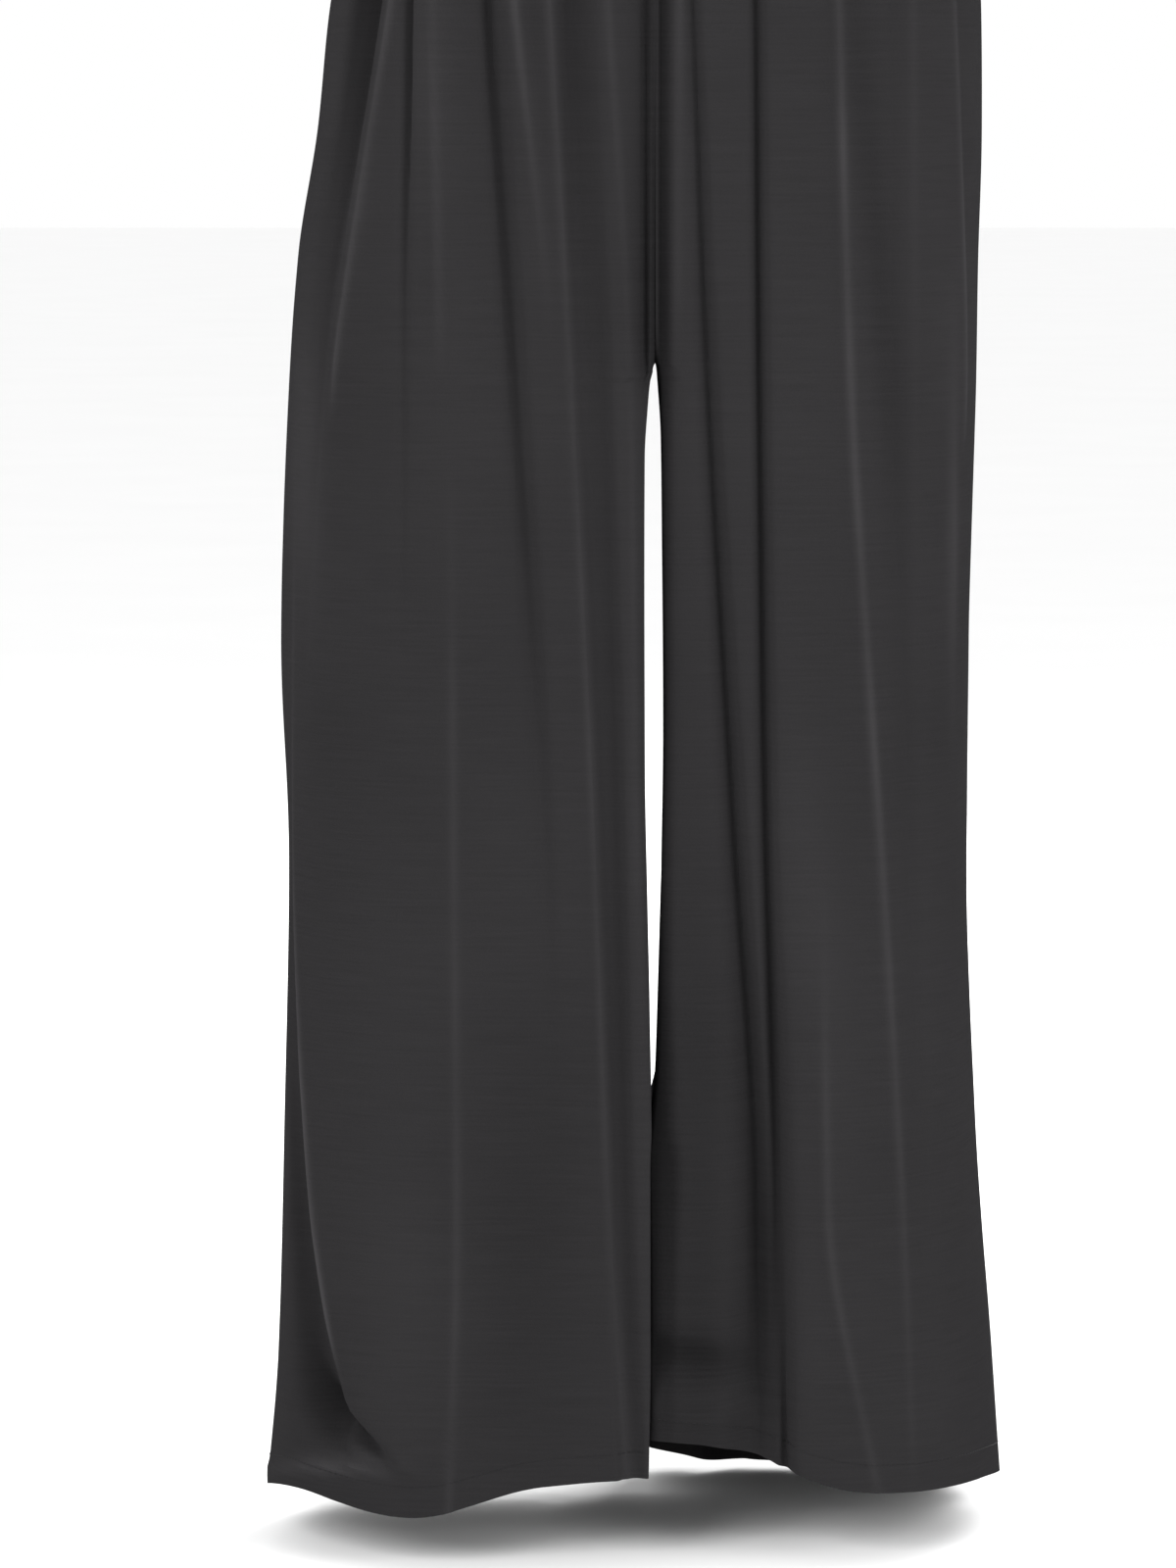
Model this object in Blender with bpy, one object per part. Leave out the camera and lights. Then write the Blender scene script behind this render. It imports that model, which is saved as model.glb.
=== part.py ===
"""Wide-leg overalls as they hang on a wearer: four leg panels, a waistband, two bibs, two straps.

Metres, +Z up. The front faces -Y and the wearer's left is +X. The origin is midway between the
shoulders, level with the undersides of the straps, where the wearer holds the garment up. Heights in
the tables are measured up from the ground, so a height becomes a Z by taking off SHOULDER.
"""

from collections import namedtuple

import bmesh
import bpy
import numpy as np

MM = 0.001

# heights above the ground
SHOULDER = 1.430
BIB_TOP = 1.300
BACK_TOP = 1.270
BAND_TOP = 1.088
WAIST = 1.050
RISE_TOP = 0.850
CROTCH = 0.712
HEM = 0.040
HEM_REACH = 0.300  # the hem's unevenness has died out at this height

# cloth and seams
CLOTH = 0.0012
SEAM = 0.0003
RISE_POWER = 8.0  # how sharply the centre seam turns under at the crotch
CROTCH_Y = 0.010
SEAM_CALM = 0.016  # folds die out this close to a side seam
CENTRE_CALM = 0.004  # and this close to a centre seam or an inseam
FRONT_REACH = 0.045  # folds this near the middle move the cloth from front to back only
VALLEY_STEEP = 4.0  # 2 for a round valley beside the centre seam, more for a flat one
WAIST_CALM = 0.060  # and this far below the waistband
WAIST_TAPER = 0.78  # how close together the folds are at the waistband, against the hip
FOLD_CROWD = 3.0  # how strongly a fold's slopes draw the columns together

# bibs and straps
BIB_FOOT = 0.140  # half widths
BIB_HEAD = 0.106
BACK_FOOT = 0.120
BACK_HEAD = 0.092
STRAP_WIDTH = 0.032
STRAP_INSET = 0.001  # from a bib's corner to its strap

# mesh
FACE_COLUMNS = {"front": 27, "back": 18}  # from the side seam to the rim between the legs
WALL_COLUMNS = 5  # from that rim, where a panel turns in, to the centre seam or the inseam
RIM = 0.005  # the rim's distance from the middle
FLAT_SHARE = 0.999  # a centre seam as far out as this share of its panel leaves the panel flat
CROTCH_ROWS = 6
HIGH_ROWS = (0.895, 0.945, 0.990, 1.025)
LOW_ROWS = (0.690, 0.640, 0.550, 0.440, 0.330, 0.225, 0.120)
BIB_COLUMNS = 15
BIB_ROWS = 7
BAND_COLUMNS = 31
STRAP_COLUMNS = 3
STRAP_ROWS = 23
DENSE = 161  # points that each quarter of an outline is drawn with
EVEN = 401  # and evenly spaced points that a whole panel's outline is read at

CHARCOAL = (0.020, 0.019, 0.020, 1.0)

Section = namedtuple(
    "Section", "height side_x side_y crown_x front_y back_y inner_y outer_power inner_power"
)
# one leg, seen in plan at each height: the side seam, the crowns of the front and the back, and how
# far back the inseam lies, which counts only below the crotch; the powers say how square the corners
# are
RIGHT_LEG = (
    Section(1.050, -0.150, 0.000, -0.050, -0.105, 0.105, 0.010, 2.3, 8.0),
    Section(0.990, -0.173, 0.000, -0.072, -0.121, 0.125, 0.010, 2.3, 8.0),
    Section(0.925, -0.191, 0.000, -0.090, -0.131, 0.138, 0.010, 2.3, 8.0),
    Section(0.850, -0.199, -0.002, -0.100, -0.134, 0.140, 0.010, 2.3, 8.0),
    Section(0.775, -0.2108, -0.004, -0.106, -0.137, 0.132, 0.010, 2.3, 10.0),
    Section(0.700, -0.216, -0.008, -0.108, -0.140, 0.118, 0.010, 2.3, 12.0),
    Section(0.550, -0.2215, -0.014, -0.110, -0.142, 0.106, -0.010, 2.4, 12.0),
    Section(0.420, -0.2173, -0.020, -0.110, -0.139, 0.099, -0.020, 2.5, 12.0),
    Section(0.260, -0.2205, -0.025, -0.111, -0.137, 0.096, -0.032, 2.5, 12.0),
    Section(0.120, -0.2245, -0.028, -0.113, -0.138, 0.097, -0.040, 2.4, 12.0),
    Section(0.040, -0.2312, -0.030, -0.115, -0.141, 0.099, -0.042, 2.4, 12.0),
)
LEFT_LEG = (
    Section(1.050, 0.150, 0.000, 0.050, -0.105, 0.105, 0.010, 2.3, 8.0),
    Section(0.990, 0.176, 0.000, 0.072, -0.121, 0.125, 0.010, 2.3, 8.0),
    Section(0.925, 0.193, 0.000, 0.090, -0.131, 0.138, 0.010, 2.3, 8.0),
    Section(0.850, 0.194, 0.003, 0.098, -0.131, 0.143, 0.010, 2.3, 8.0),
    Section(0.775, 0.1925, 0.006, 0.100, -0.128, 0.144, 0.010, 2.3, 10.0),
    Section(0.700, 0.192, 0.010, 0.100, -0.126, 0.145, 0.010, 2.3, 12.0),
    Section(0.550, 0.1888, 0.016, 0.098, -0.123, 0.150, 0.022, 2.3, 12.0),
    Section(0.420, 0.1883, 0.021, 0.097, -0.123, 0.155, 0.028, 2.3, 12.0),
    Section(0.260, 0.1945, 0.026, 0.098, -0.124, 0.161, 0.036, 2.3, 12.0),
    Section(0.120, 0.2052, 0.030, 0.102, -0.126, 0.168, 0.042, 2.3, 12.0),
    Section(0.040, 0.2108, 0.032, 0.105, -0.129, 0.172, 0.045, 2.3, 12.0),
)

# how near the two legs hang to each other, from the crotch down to the hem
Inseam = namedtuple("Inseam", "height right_x left_x")
INSEAM = (
    Inseam(0.712, -0.0002, 0.0002),
    Inseam(0.707, -0.0024, 0.0020),
    Inseam(0.690, -0.0042, 0.0036),
    Inseam(0.660, -0.0060, 0.0054),
    Inseam(0.600, -0.0062, 0.0062),
    Inseam(0.480, -0.0058, 0.0072),
    Inseam(0.400, -0.0042, 0.0062),
    Inseam(0.320, -0.0026, 0.0050),
    Inseam(0.288, -0.0026, 0.0034),
    Inseam(0.260, -0.0026, -0.0010),
    Inseam(0.120, -0.0022, -0.0010),
    Inseam(0.040, -0.0040, -0.0020),
)

# where the centre seams lie, from the waistband down to where they turn under the crotch
CentreSeam = namedtuple("CentreSeam", "height front_y back_y")
CENTRE_SEAM = (
    CentreSeam(1.050, -0.105, 0.105),
    CentreSeam(0.990, -0.117, 0.123),
    CentreSeam(0.925, -0.123, 0.130),
    CentreSeam(0.850, -0.122, 0.134),
)

# the valley down the front of each leg beside the centre seam: how wide it is and how deep
Valley = namedtuple("Valley", "height right_reach right_depth left_reach left_depth")
VALLEYS = (
    Valley(1.030, 0.0140, 0.000, 0.0083, 0.000),
    Valley(0.980, 0.0140, 0.002, 0.0083, 0.002),
    Valley(0.925, 0.0140, 0.005, 0.0083, 0.005),
    Valley(0.722, 0.0140, 0.008, 0.0083, 0.006),
    Valley(0.660, 0.0140, 0.000, 0.0095, 0.004),
    Valley(0.410, 0.0140, 0.000, 0.0110, 0.003),
    Valley(0.160, 0.0140, 0.000, 0.0120, 0.002),
    Valley(0.040, 0.0140, 0.000, 0.0120, 0.001),
)

# how high the hem hangs, from the side seam round to the inseam
Hem = namedtuple("Hem", "side outer crown inner_crown inner inseam")
HEMS = {
    ("right", "front"): Hem(0.040, 0.052, 0.0415, 0.060, 0.065, 0.060),
    ("right", "back"): Hem(0.040, 0.032, 0.028, 0.028, 0.040, 0.060),
    ("left", "front"): Hem(0.036, 0.050, 0.054, 0.083, 0.088, 0.066),
    ("left", "back"): Hem(0.036, 0.018, 0.012, 0.014, 0.032, 0.066),
}

# the folds of one panel: where each runs, from the centre line, how far it stands out (+) or sinks
# in (-) at the five stations, how wide its slopes are towards the side seam and the centre, and
# whether it moves the cloth straight from front to back
STATIONS = (0.925, 0.700, 0.450, 0.220, 0.040)
Fold = namedtuple(
    "Fold",
    "name x_hip x_thigh x_knee x_shin x_hem hip thigh knee shin hem outer inner straight",
    defaults=(False,),
)
FOLDS_MM = {
    ("right", "front"): (
        Fold("hip drag", -161, -194, -206, -206, -206, -26, -3, 0, 0, 0, 21, 6, True),
        Fold("hip crest", -151, -186, -206, -206, -206, 3, 2, 1, 0, 0, 4, 9),
        Fold("hip line", -143, -146, -148, -148, -148, -7, -2, 0, 0, 0, 4, 4),
        Fold("hip roll", -128, -124, -123, -123, -123, 3, 2, 0, 0, 0, 6, 16),
        Fold("thigh slope", -96, -81, -67, -60, -56, -6, -5, -2, 0, 0, 22, 6),
        Fold("thigh trough", -96, -80, -66, -60, -56, -8, -6, -2, 0, 0, 6, 5),
        Fold("band crest", -61, -48, -36, -26, -16, 5, 5, 5, 5, 4, 16, 4),
        Fold("band hollow", -48, -36, -27, -20, -15, -6, -7, -8, -8, -7, 8, 8),
        Fold("inner rim", -28, -14, -11, -6, -4, 3, 3, 1, 1, 1, 6, 5),
        Fold("shin ridge", -118, -118, -117, -115, -120, 0, 0, 2, 3, 3, 14, 6),
        Fold("side recess", -214, -214, -216, -204, -181, 0, 0, -4, -24, -22, 28, 6, True),
    ),
    ("left", "front"): (
        Fold("inner trough", 22, 32, 47, 60, 61, -7, -11, -15, -16, -8, 5, 7),
        Fold("deep trough", 59, 61, 66, 76, 78, -8, -11, -13, -15, -15, 5, 6),
        Fold("shin hollow", 60, 60, 60, 66, 66, 0, 0, -1, -9, -11, 10, 18),
        Fold("trough lip", 68, 72, 77, 89, 93, 2, 2, 2, 2, 1, 14, 5),
        Fold("outer ridge", 104, 112, 129, 144, 152, 5, 5, 5, 4, 1, 20, 6),
        Fold("ridge hollow", 136, 139, 150, 158, 160, -6, -7, -5, -2, 0, 9, 20),
        Fold("side ridge", 171, 182, 169, 169, 169, 2, 2, 1, 0, 0, 5, 8),
        Fold("shin ridge", 98, 98, 98, 101, 131, 0, 0, 0, 4, 2, 14, 6),
    ),
    ("right", "back"): (
        Fold("seat fold", -64, -58, -52, -48, -45, -2, -6, -9, -11, -11, 13, 10),
        Fold("seat crest", -84, -79, -74, -70, -67, 2, 3, 4, 4, 4, 5, 10),
        Fold("calf fold", -121, -119, -116, -113, -110, -3, -7, -10, -11, -9, 15, 9),
        Fold("outer ridge", -146, -148, -150, -150, -152, 2, 3, 4, 4, 3, 8, 9),
        Fold("side fold", -166, -175, -182, -184, -188, -1, -4, -7, -8, -9, 9, 9),
    ),
    ("left", "back"): (
        Fold("seat fold", 42, 41, 39, 37, 36, -2, -6, -9, -10, -9, 13, 11),
        Fold("middle ridge", 66, 65, 64, 62, 60, 2, 3, 4, 4, 4, 6, 12),
        Fold("calf fold", 97, 99, 101, 105, 109, -3, -8, -12, -13, -12, 9, 15),
        Fold("outer ridge", 119, 121, 124, 128, 132, 2, 3, 3, 4, 4, 10, 6),
        Fold("side fold", 152, 154, 157, 162, 168, -1, -4, -6, -8, -9, 10, 9),
    ),
}

# the body of the bibs, in plan at each height above the waistband
Torso = namedtuple("Torso", "height side_x crown_x front_y back_y power")
TORSO = (
    Torso(1.050, 0.150, 0.050, -0.105, 0.105, 2.3),
    Torso(1.120, 0.150, 0.046, -0.108, 0.104, 2.3),
    Torso(1.200, 0.158, 0.042, -0.115, 0.108, 2.3),
    Torso(1.300, 0.165, 0.040, -0.116, 0.112, 2.3),
)

# a strap's way over the shoulder, seen from the side; it also moves inwards to strap_x and leans
# with the shoulder
StrapPoint = namedtuple("StrapPoint", "x y height lean")
SHOULDER_ROUTE = (
    StrapPoint(0.088, -0.088, 1.360, 0.04),
    StrapPoint(0.086, -0.052, 1.410, 0.10),
    StrapPoint(0.084, 0.000, 1.4312, 0.14),
    StrapPoint(0.081, 0.052, 1.411, 0.10),
    StrapPoint(0.078, 0.090, 1.355, 0.04),
)


def clear_scene():
    """Remove what the file opened with."""
    for thing in list(bpy.data.objects):
        bpy.data.objects.remove(thing, do_unlink=True)


def cloth_material(name):
    """The woven cloth's plain finish, one material for each piece."""
    material = bpy.data.materials.new(name)
    material.use_nodes = True
    shader = material.node_tree.nodes["Principled BSDF"]
    shader.inputs["Base Color"].default_value = CHARCOAL
    shader.inputs["Roughness"].default_value = 0.85
    shader.inputs["Metallic"].default_value = 0.0
    material.diffuse_color = CHARCOAL
    return material


def eased(share):
    """A share from 0 to 1 that starts and ends level."""
    share = np.clip(share, 0.0, 1.0)
    return share * share * (3.0 - 2.0 * share)


def read_column(heights, values, at):
    """A table's column read at a height, on a cubic that never swings past its rows."""
    order = np.argsort(heights)
    knots = np.asarray(heights, float)[order]
    levels = np.asarray(values, float)[order]
    slopes = np.diff(levels) / np.diff(knots)
    before = slopes[:-1]
    after = slopes[1:]
    tangents = np.concatenate(([slopes[0]], np.zeros(len(before)), [slopes[-1]]))
    agree = before * after > 0.0
    tangents[1:-1][agree] = 2.0 * before[agree] * after[agree] / (before[agree] + after[agree])
    at = np.clip(at, knots[0], knots[-1])
    span = int(np.clip(np.searchsorted(knots, at) - 1, 0, len(slopes) - 1))
    width = knots[span + 1] - knots[span]
    share = (at - knots[span]) / width
    start = levels[span] * (1.0 + 2.0 * share) * (1.0 - share) ** 2
    end = levels[span + 1] * share**2 * (3.0 - 2.0 * share)
    lean = tangents[span] * (1.0 - share) - tangents[span + 1] * share
    return float(start + end + width * share * (1.0 - share) * lean)


def read_row(table, height):
    """One row of a table, worked out for any height."""
    heights = [row.height for row in table]
    columns = zip(*table)
    return type(table[0])(*(read_column(heights, column, height) for column in columns))


def quarter(start_x, start_y, crown_x, crown_y, power):
    """A rounded quarter from a seam, where it runs front to back, to a crown, where it runs across."""
    angle = np.linspace(0.0, np.pi / 2.0, DENSE)
    across = np.abs(np.cos(angle)) ** (2.0 / power)
    deep = np.abs(np.sin(angle)) ** (2.0 / power)
    return np.column_stack(
        (crown_x + (start_x - crown_x) * across, start_y + (crown_y - start_y) * deep)
    )


def centre_seam_y(face, height):
    """How deep the centre seam lies: level with the panel at the waist, far in at the crotch."""
    row = read_row(CENTRE_SEAM, max(height, RISE_TOP))
    top_y = row.front_y if face == "front" else row.back_y
    share = np.clip((height - CROTCH) / (RISE_TOP - CROTCH), 0.0, 1.0)
    arc = (1.0 - (1.0 - share) ** RISE_POWER) ** (1.0 / RISE_POWER)
    return CROTCH_Y + (top_y - CROTCH_Y) * arc


def inner_quarter(section, inner_x, crown_y, seam_y, height):
    """From a panel's crown round to its inseam or, above the crotch, to its centre seam."""
    power = section.inner_power
    reach = inner_x - section.crown_x
    if height >= CROTCH:
        # the legs run into each other here: each reaches past the middle and is cut off at the seam
        inner_x = np.copysign(SEAM / 2.0, section.crown_x)
        seam_share = (seam_y - section.inner_y) / (crown_y - section.inner_y)
        seam_share = np.clip(seam_share, 0.0, FLAT_SHARE)
        reach = (inner_x - section.crown_x) / (1.0 - seam_share**power) ** (1.0 / power)
    end = np.arccos(min((inner_x - section.crown_x) / reach, 1.0) ** (power / 2.0))
    angle = np.linspace(np.pi / 2.0, end, DENSE)
    x = section.crown_x + reach * np.abs(np.cos(angle)) ** (2.0 / power)
    y = section.inner_y + (crown_y - section.inner_y) * np.sin(angle) ** (2.0 / power)
    return np.column_stack((x, y))


def panel_outline(leg, face, height):
    """A leg panel's smooth outline in plan, side seam to centre, and the place of its inner rim."""
    section = read_row(RIGHT_LEG if leg == "right" else LEFT_LEG, height)
    crown_y = section.front_y if face == "front" else section.back_y
    outer = quarter(section.side_x, section.side_y, section.crown_x, crown_y, section.outer_power)
    inseam = read_row(INSEAM, height)
    inner_x = inseam.right_x if leg == "right" else inseam.left_x
    inner = inner_quarter(section, inner_x, crown_y, centre_seam_y(face, height), height)
    drawn = np.vstack((outer, inner[1:]))
    drawn_along = lengths_along(drawn)
    along = np.linspace(0.0, drawn_along[-1], EVEN)
    points = read_at(drawn, drawn_along, along)
    middle_gap = np.abs(points[:, 0] - points[-1, 0])
    rim = np.interp(-RIM, -middle_gap, along)
    return points, along, rim


def lengths_along(points):
    """The length of an outline up to each of its points."""
    steps = np.linalg.norm(np.diff(points, axis=0), axis=1)
    return np.concatenate(([0.0], np.cumsum(steps)))


def outward(points, along, turn, upright_ends):
    """The outline's outward directions; turn is 1 where outwards lies to the right of the way along."""
    slope_x = np.gradient(points[:, 0], along)
    slope_y = np.gradient(points[:, 1], along)
    normals = np.column_stack((slope_y, -slope_x)) * turn
    for end in upright_ends:
        normals[end] = (np.sign(normals[end, 0]), 0.0)
    return normals / np.linalg.norm(normals, axis=1)[:, None]


def fold_rise(fold, height, points, along):
    """How far one fold moves each point of an outline in or out."""
    rise = read_column(STATIONS, (fold.hip, fold.thigh, fold.knee, fold.shin, fold.hem), height) * MM
    offset = along - fold_place(fold, height, points, along)
    width = np.where(offset < 0.0, fold.outer, fold.inner) * MM
    return rise * np.exp(-((offset / width) ** 2))


def fold_place(fold, height, points, along):
    """Where one fold crosses an outline; above the hip it fans in towards the waist."""
    stations = (fold.x_hip, fold.x_thigh, fold.x_knee, fold.x_shin, fold.x_hem)
    x = read_column(STATIONS, stations, height) * MM
    x *= np.interp(height, (STATIONS[0], WAIST), (1.0, WAIST_TAPER))
    order = np.argsort(points[:, 0])
    return float(np.interp(x, points[order, 0], along[order]))


def valley_shift(leg, height, points):
    """How far the front of a leg lies back beside the centre seam; nothing on the way to the inseam."""
    row = read_row(VALLEYS, height)
    reach = row.right_reach if leg == "right" else row.left_reach
    depth = row.right_depth if leg == "right" else row.left_depth
    nearness = np.exp(-((np.abs(points[:, 0]) / reach) ** VALLEY_STEEP))
    front_share = points[:, 1] / points[:, 1].min()
    return depth * nearness * eased((front_share - 0.5) / 0.3)


def column_places(face, along, rim, rise):
    """Where the columns of a level stand: closer together where the cloth folds."""
    crowding = 1.0 + FOLD_CROWD * np.abs(np.gradient(rise, along))
    crowding *= along <= rim
    crowd = np.concatenate(([0.0], np.cumsum((crowding[1:] + crowding[:-1]) / 2.0 * np.diff(along))))
    used = crowding > 0.0
    even = np.linspace(0.0, crowd[-1], FACE_COLUMNS[face])
    places = np.interp(even, crowd[used], along[used])
    places = np.concatenate((places[:-1], np.linspace(rim, along[-1], WALL_COLUMNS)))
    places[0] = SEAM / 2.0
    places[-1] = along[-1] - SEAM / 2.0
    return places


def panel_row(leg, face, height):
    """One level of a leg panel: its outer and inner points in plan and how far round they are."""
    points, along, rim = panel_outline(leg, face, height)
    turn = 1.0 if (leg == "right") == (face == "front") else -1.0
    front = -1.0 if face == "front" else 1.0
    upright_ends = (0,) if height > CROTCH else (0, -1)
    near_middle = eased(2.0 - 2.0 * np.abs(points[:, 0]) / FRONT_REACH)[:, None]
    ways = outward(points, along, turn, upright_ends) * (1.0 - near_middle)
    ways += np.array((0.0, front)) * near_middle
    rise = np.zeros(len(along))
    push = np.zeros(len(along))
    for fold in FOLDS_MM[(leg, face)]:
        moved = fold_rise(fold, height, points, along)
        if fold.straight:
            push += moved
        else:
            rise += moved
    calm = eased(along / SEAM_CALM) * eased((along[-1] - along) / CENTRE_CALM)
    calm *= eased((WAIST - height) / WAIST_CALM)
    outer = points + ways * (rise * calm)[:, None]
    outer[:, 1] += front * push * calm
    if face == "front":
        outer[:, 1] += valley_shift(leg, height, points)
    inner = outer - outward(outer, lengths_along(outer), turn, upright_ends) * CLOTH
    places = column_places(face, along, rim, rise + push)
    return read_at(outer, along, places), read_at(inner, along, places), places / along[-1]


def read_at(points, along, places):
    """An outline's points read at given lengths along it."""
    return np.column_stack([np.interp(places, along, points[:, axis]) for axis in range(2)])


def panel_heights():
    """The levels of a leg panel, close together where the seams turn under the crotch."""
    shares = np.linspace(0.0, 1.0, CROTCH_ROWS) ** 2
    rise = CROTCH + (RISE_TOP - CROTCH) * shares
    return sorted((WAIST - SEAM, HEM, *HIGH_ROWS, *LOW_ROWS, *rise), reverse=True)


def hem_lift(leg, face, height, shares):
    """How far a level is lifted by the uneven hem; nothing above HEM_REACH."""
    hem = HEMS[(leg, face)]
    stops = np.linspace(0.0, 1.0, len(hem))
    uneven = np.array([read_column(stops, hem, share) for share in shares]) - HEM
    nearness = np.clip((HEM_REACH - height) / (HEM_REACH - HEM), 0.0, 1.0)
    return uneven * nearness**1.5


def leg_panel(leg, face):
    """One of the four leg panels, from the waistband to the hem."""
    outer = []
    inner = []
    for height in panel_heights():
        outer_row, inner_row, shares = panel_row(leg, face, height)
        z = height - SHOULDER + hem_lift(leg, face, height, shares)
        outer.append(np.column_stack((outer_row, z)))
        inner.append(np.column_stack((inner_row, z)))
    return wall(f"{face}_leg_{leg}", np.array(outer), np.array(inner))


def torso_outline(face, height):
    """Half of the body's outline above the waist, from the side of the body to its middle."""
    row = read_row(TORSO, height)
    crown_y = row.front_y if face == "front" else row.back_y
    curve = quarter(row.side_x, 0.0, row.crown_x, crown_y, row.power)
    return np.vstack((curve, (0.0, crown_y)))


def body_row(face, height, half_width, columns):
    """A level of a piece that lies round the body, from the wearer's right to the left."""
    half = torso_outline(face, height)
    whole = np.vstack((half * (-1.0, 1.0), half[::-1][1:]))
    along = lengths_along(whole)
    turn = 1.0 if face == "front" else -1.0
    normals = outward(whole, along, turn, (0, -1))
    edges = np.interp((-half_width, half_width), whole[:, 0], along)
    edges = np.clip(edges, SEAM / 2.0, along[-1] - SEAM / 2.0)
    places = np.linspace(edges[0], edges[1], columns)
    outer = read_at(whole, along, places)
    inner = read_at(whole - normals * CLOTH, along, places)
    return outer, inner


def body_piece(name, face, levels, half_widths, columns):
    """A waistband half or a bib, level by level."""
    outer = []
    inner = []
    for height, half_width in zip(levels, half_widths):
        outer_row, inner_row = body_row(face, height, half_width, columns)
        z = np.full(columns, height - SHOULDER)
        outer.append(np.column_stack((outer_row, z)))
        inner.append(np.column_stack((inner_row, z)))
    return wall(name, np.array(outer), np.array(inner))


def waistband(face):
    """Half of the waistband, from side seam to side seam."""
    levels = np.linspace(BAND_TOP, WAIST, 3)
    half_widths = np.full(3, TORSO[0].side_x)
    return body_piece(f"waistband_{face}", face, levels, half_widths, BAND_COLUMNS)


def bib(face):
    """A bib: as wide as its foot at the waistband, narrowing in a slight curve to its head."""
    top = BIB_TOP if face == "front" else BACK_TOP
    foot = BIB_FOOT if face == "front" else BACK_FOOT
    head = BIB_HEAD if face == "front" else BACK_HEAD
    shares = np.linspace(0.0, 1.0, BIB_ROWS)
    levels = top - (top - BAND_TOP - SEAM) * shares
    half_widths = head + (foot - head) * shares**1.7
    return body_piece(f"bib_{face}", face, levels, half_widths, BIB_COLUMNS)


def strap_end(face):
    """Where a strap is sewn on: the middle of its end and the direction of its width."""
    height = BIB_TOP if face == "front" else BACK_TOP
    head = BIB_HEAD if face == "front" else BACK_HEAD
    half = torso_outline(face, height)[::-1]
    reach = np.array((head - STRAP_INSET - STRAP_WIDTH, head - STRAP_INSET))
    depth = np.interp(reach, half[:, 0], half[:, 1])
    width = np.array((reach[1] - reach[0], depth[1] - depth[0], 0.0))
    middle = np.array((reach.mean(), depth.mean(), height + SEAM - SHOULDER))
    return middle, width / np.linalg.norm(width)


def strap_frames():
    """The middle line of the left strap and the direction of its width along it."""
    front, front_width = strap_end("front")
    back, back_width = strap_end("back")
    stops = [front]
    widths = [front_width]
    for point in SHOULDER_ROUTE:
        stops.append(np.array((point.x, point.y, point.height - SHOULDER)))
        widths.append(np.array((1.0, 0.0, -point.lean)))
    stops.append(back)
    widths.append(back_width)
    run = np.concatenate(([0.0], np.cumsum(np.linalg.norm(np.diff(stops, axis=0), axis=1))))
    places = np.linspace(0.0, run[-1], STRAP_ROWS)
    columns = np.column_stack((stops, widths))
    read = [[curve_through(run, column, place) for column in columns.T] for place in places]
    return np.array(read)[:, :3], np.array(read)[:, 3:]


def curve_through(run, values, place):
    """A column read along a route, on a smooth curve through all of its stops."""
    tangents = np.gradient(values, run)
    span = int(np.clip(np.searchsorted(run, place) - 1, 0, len(run) - 2))
    width = run[span + 1] - run[span]
    share = (place - run[span]) / width
    start = values[span] * (1.0 + 2.0 * share) * (1.0 - share) ** 2
    end = values[span + 1] * share**2 * (3.0 - 2.0 * share)
    lean = tangents[span] * (1.0 - share) - tangents[span + 1] * share
    return float(start + end + width * share * (1.0 - share) * lean)


def strap(leg):
    """One shoulder strap, from the front bib over the shoulder to the back bib."""
    middles, widths = strap_frames()
    widths /= np.linalg.norm(widths, axis=1)[:, None]
    ways = np.gradient(middles, axis=0)
    outwards = np.cross(widths, ways)
    outwards /= np.linalg.norm(outwards, axis=1)[:, None]
    outwards[0, 2] = 0.0
    outwards[-1, 2] = 0.0
    across = np.linspace(-0.5, 0.5, STRAP_COLUMNS) * STRAP_WIDTH
    outer = middles[:, None, :] + widths[:, None, :] * across[None, :, None]
    inner = outer - outwards[:, None, :] * CLOTH
    if leg == "right":
        outer = outer * (-1.0, 1.0, 1.0)
        inner = inner * (-1.0, 1.0, 1.0)
    return wall(f"strap_{leg}", outer, inner)


def wall(name, outer, inner):
    """A closed wall of cloth between two grids of points, as one object."""
    rows, columns, _ = outer.shape
    shape = bmesh.new()
    skins = []
    for grid in (outer, inner):
        skins.append([[shape.verts.new(point) for point in row] for row in grid])
    front, back = skins
    for skin in skins:
        for row in range(rows - 1):
            for column in range(columns - 1):
                shape.faces.new(
                    (
                        skin[row][column],
                        skin[row + 1][column],
                        skin[row + 1][column + 1],
                        skin[row][column + 1],
                    )
                )
    for row in range(rows - 1):
        for column in (0, columns - 1):
            shape.faces.new(
                (front[row][column], front[row + 1][column], back[row + 1][column], back[row][column])
            )
    for column in range(columns - 1):
        for row in (0, rows - 1):
            shape.faces.new(
                (front[row][column], front[row][column + 1], back[row][column + 1], back[row][column])
            )
    bmesh.ops.recalc_face_normals(shape, faces=shape.faces)
    bmesh.ops.triangulate(shape, faces=shape.faces)
    mesh = bpy.data.meshes.new(name)
    shape.to_mesh(mesh)
    shape.free()
    mesh.shade_smooth()
    mesh.materials.append(cloth_material(f"cloth_{name}"))
    piece = bpy.data.objects.new(name, mesh)
    bpy.context.scene.collection.objects.link(piece)
    return piece


def main():
    """Cut and hang every piece."""
    clear_scene()
    for leg in ("right", "left"):
        for face in ("front", "back"):
            leg_panel(leg, face)
    for face in ("front", "back"):
        waistband(face)
        bib(face)
    for leg in ("right", "left"):
        strap(leg)


main()
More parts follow.
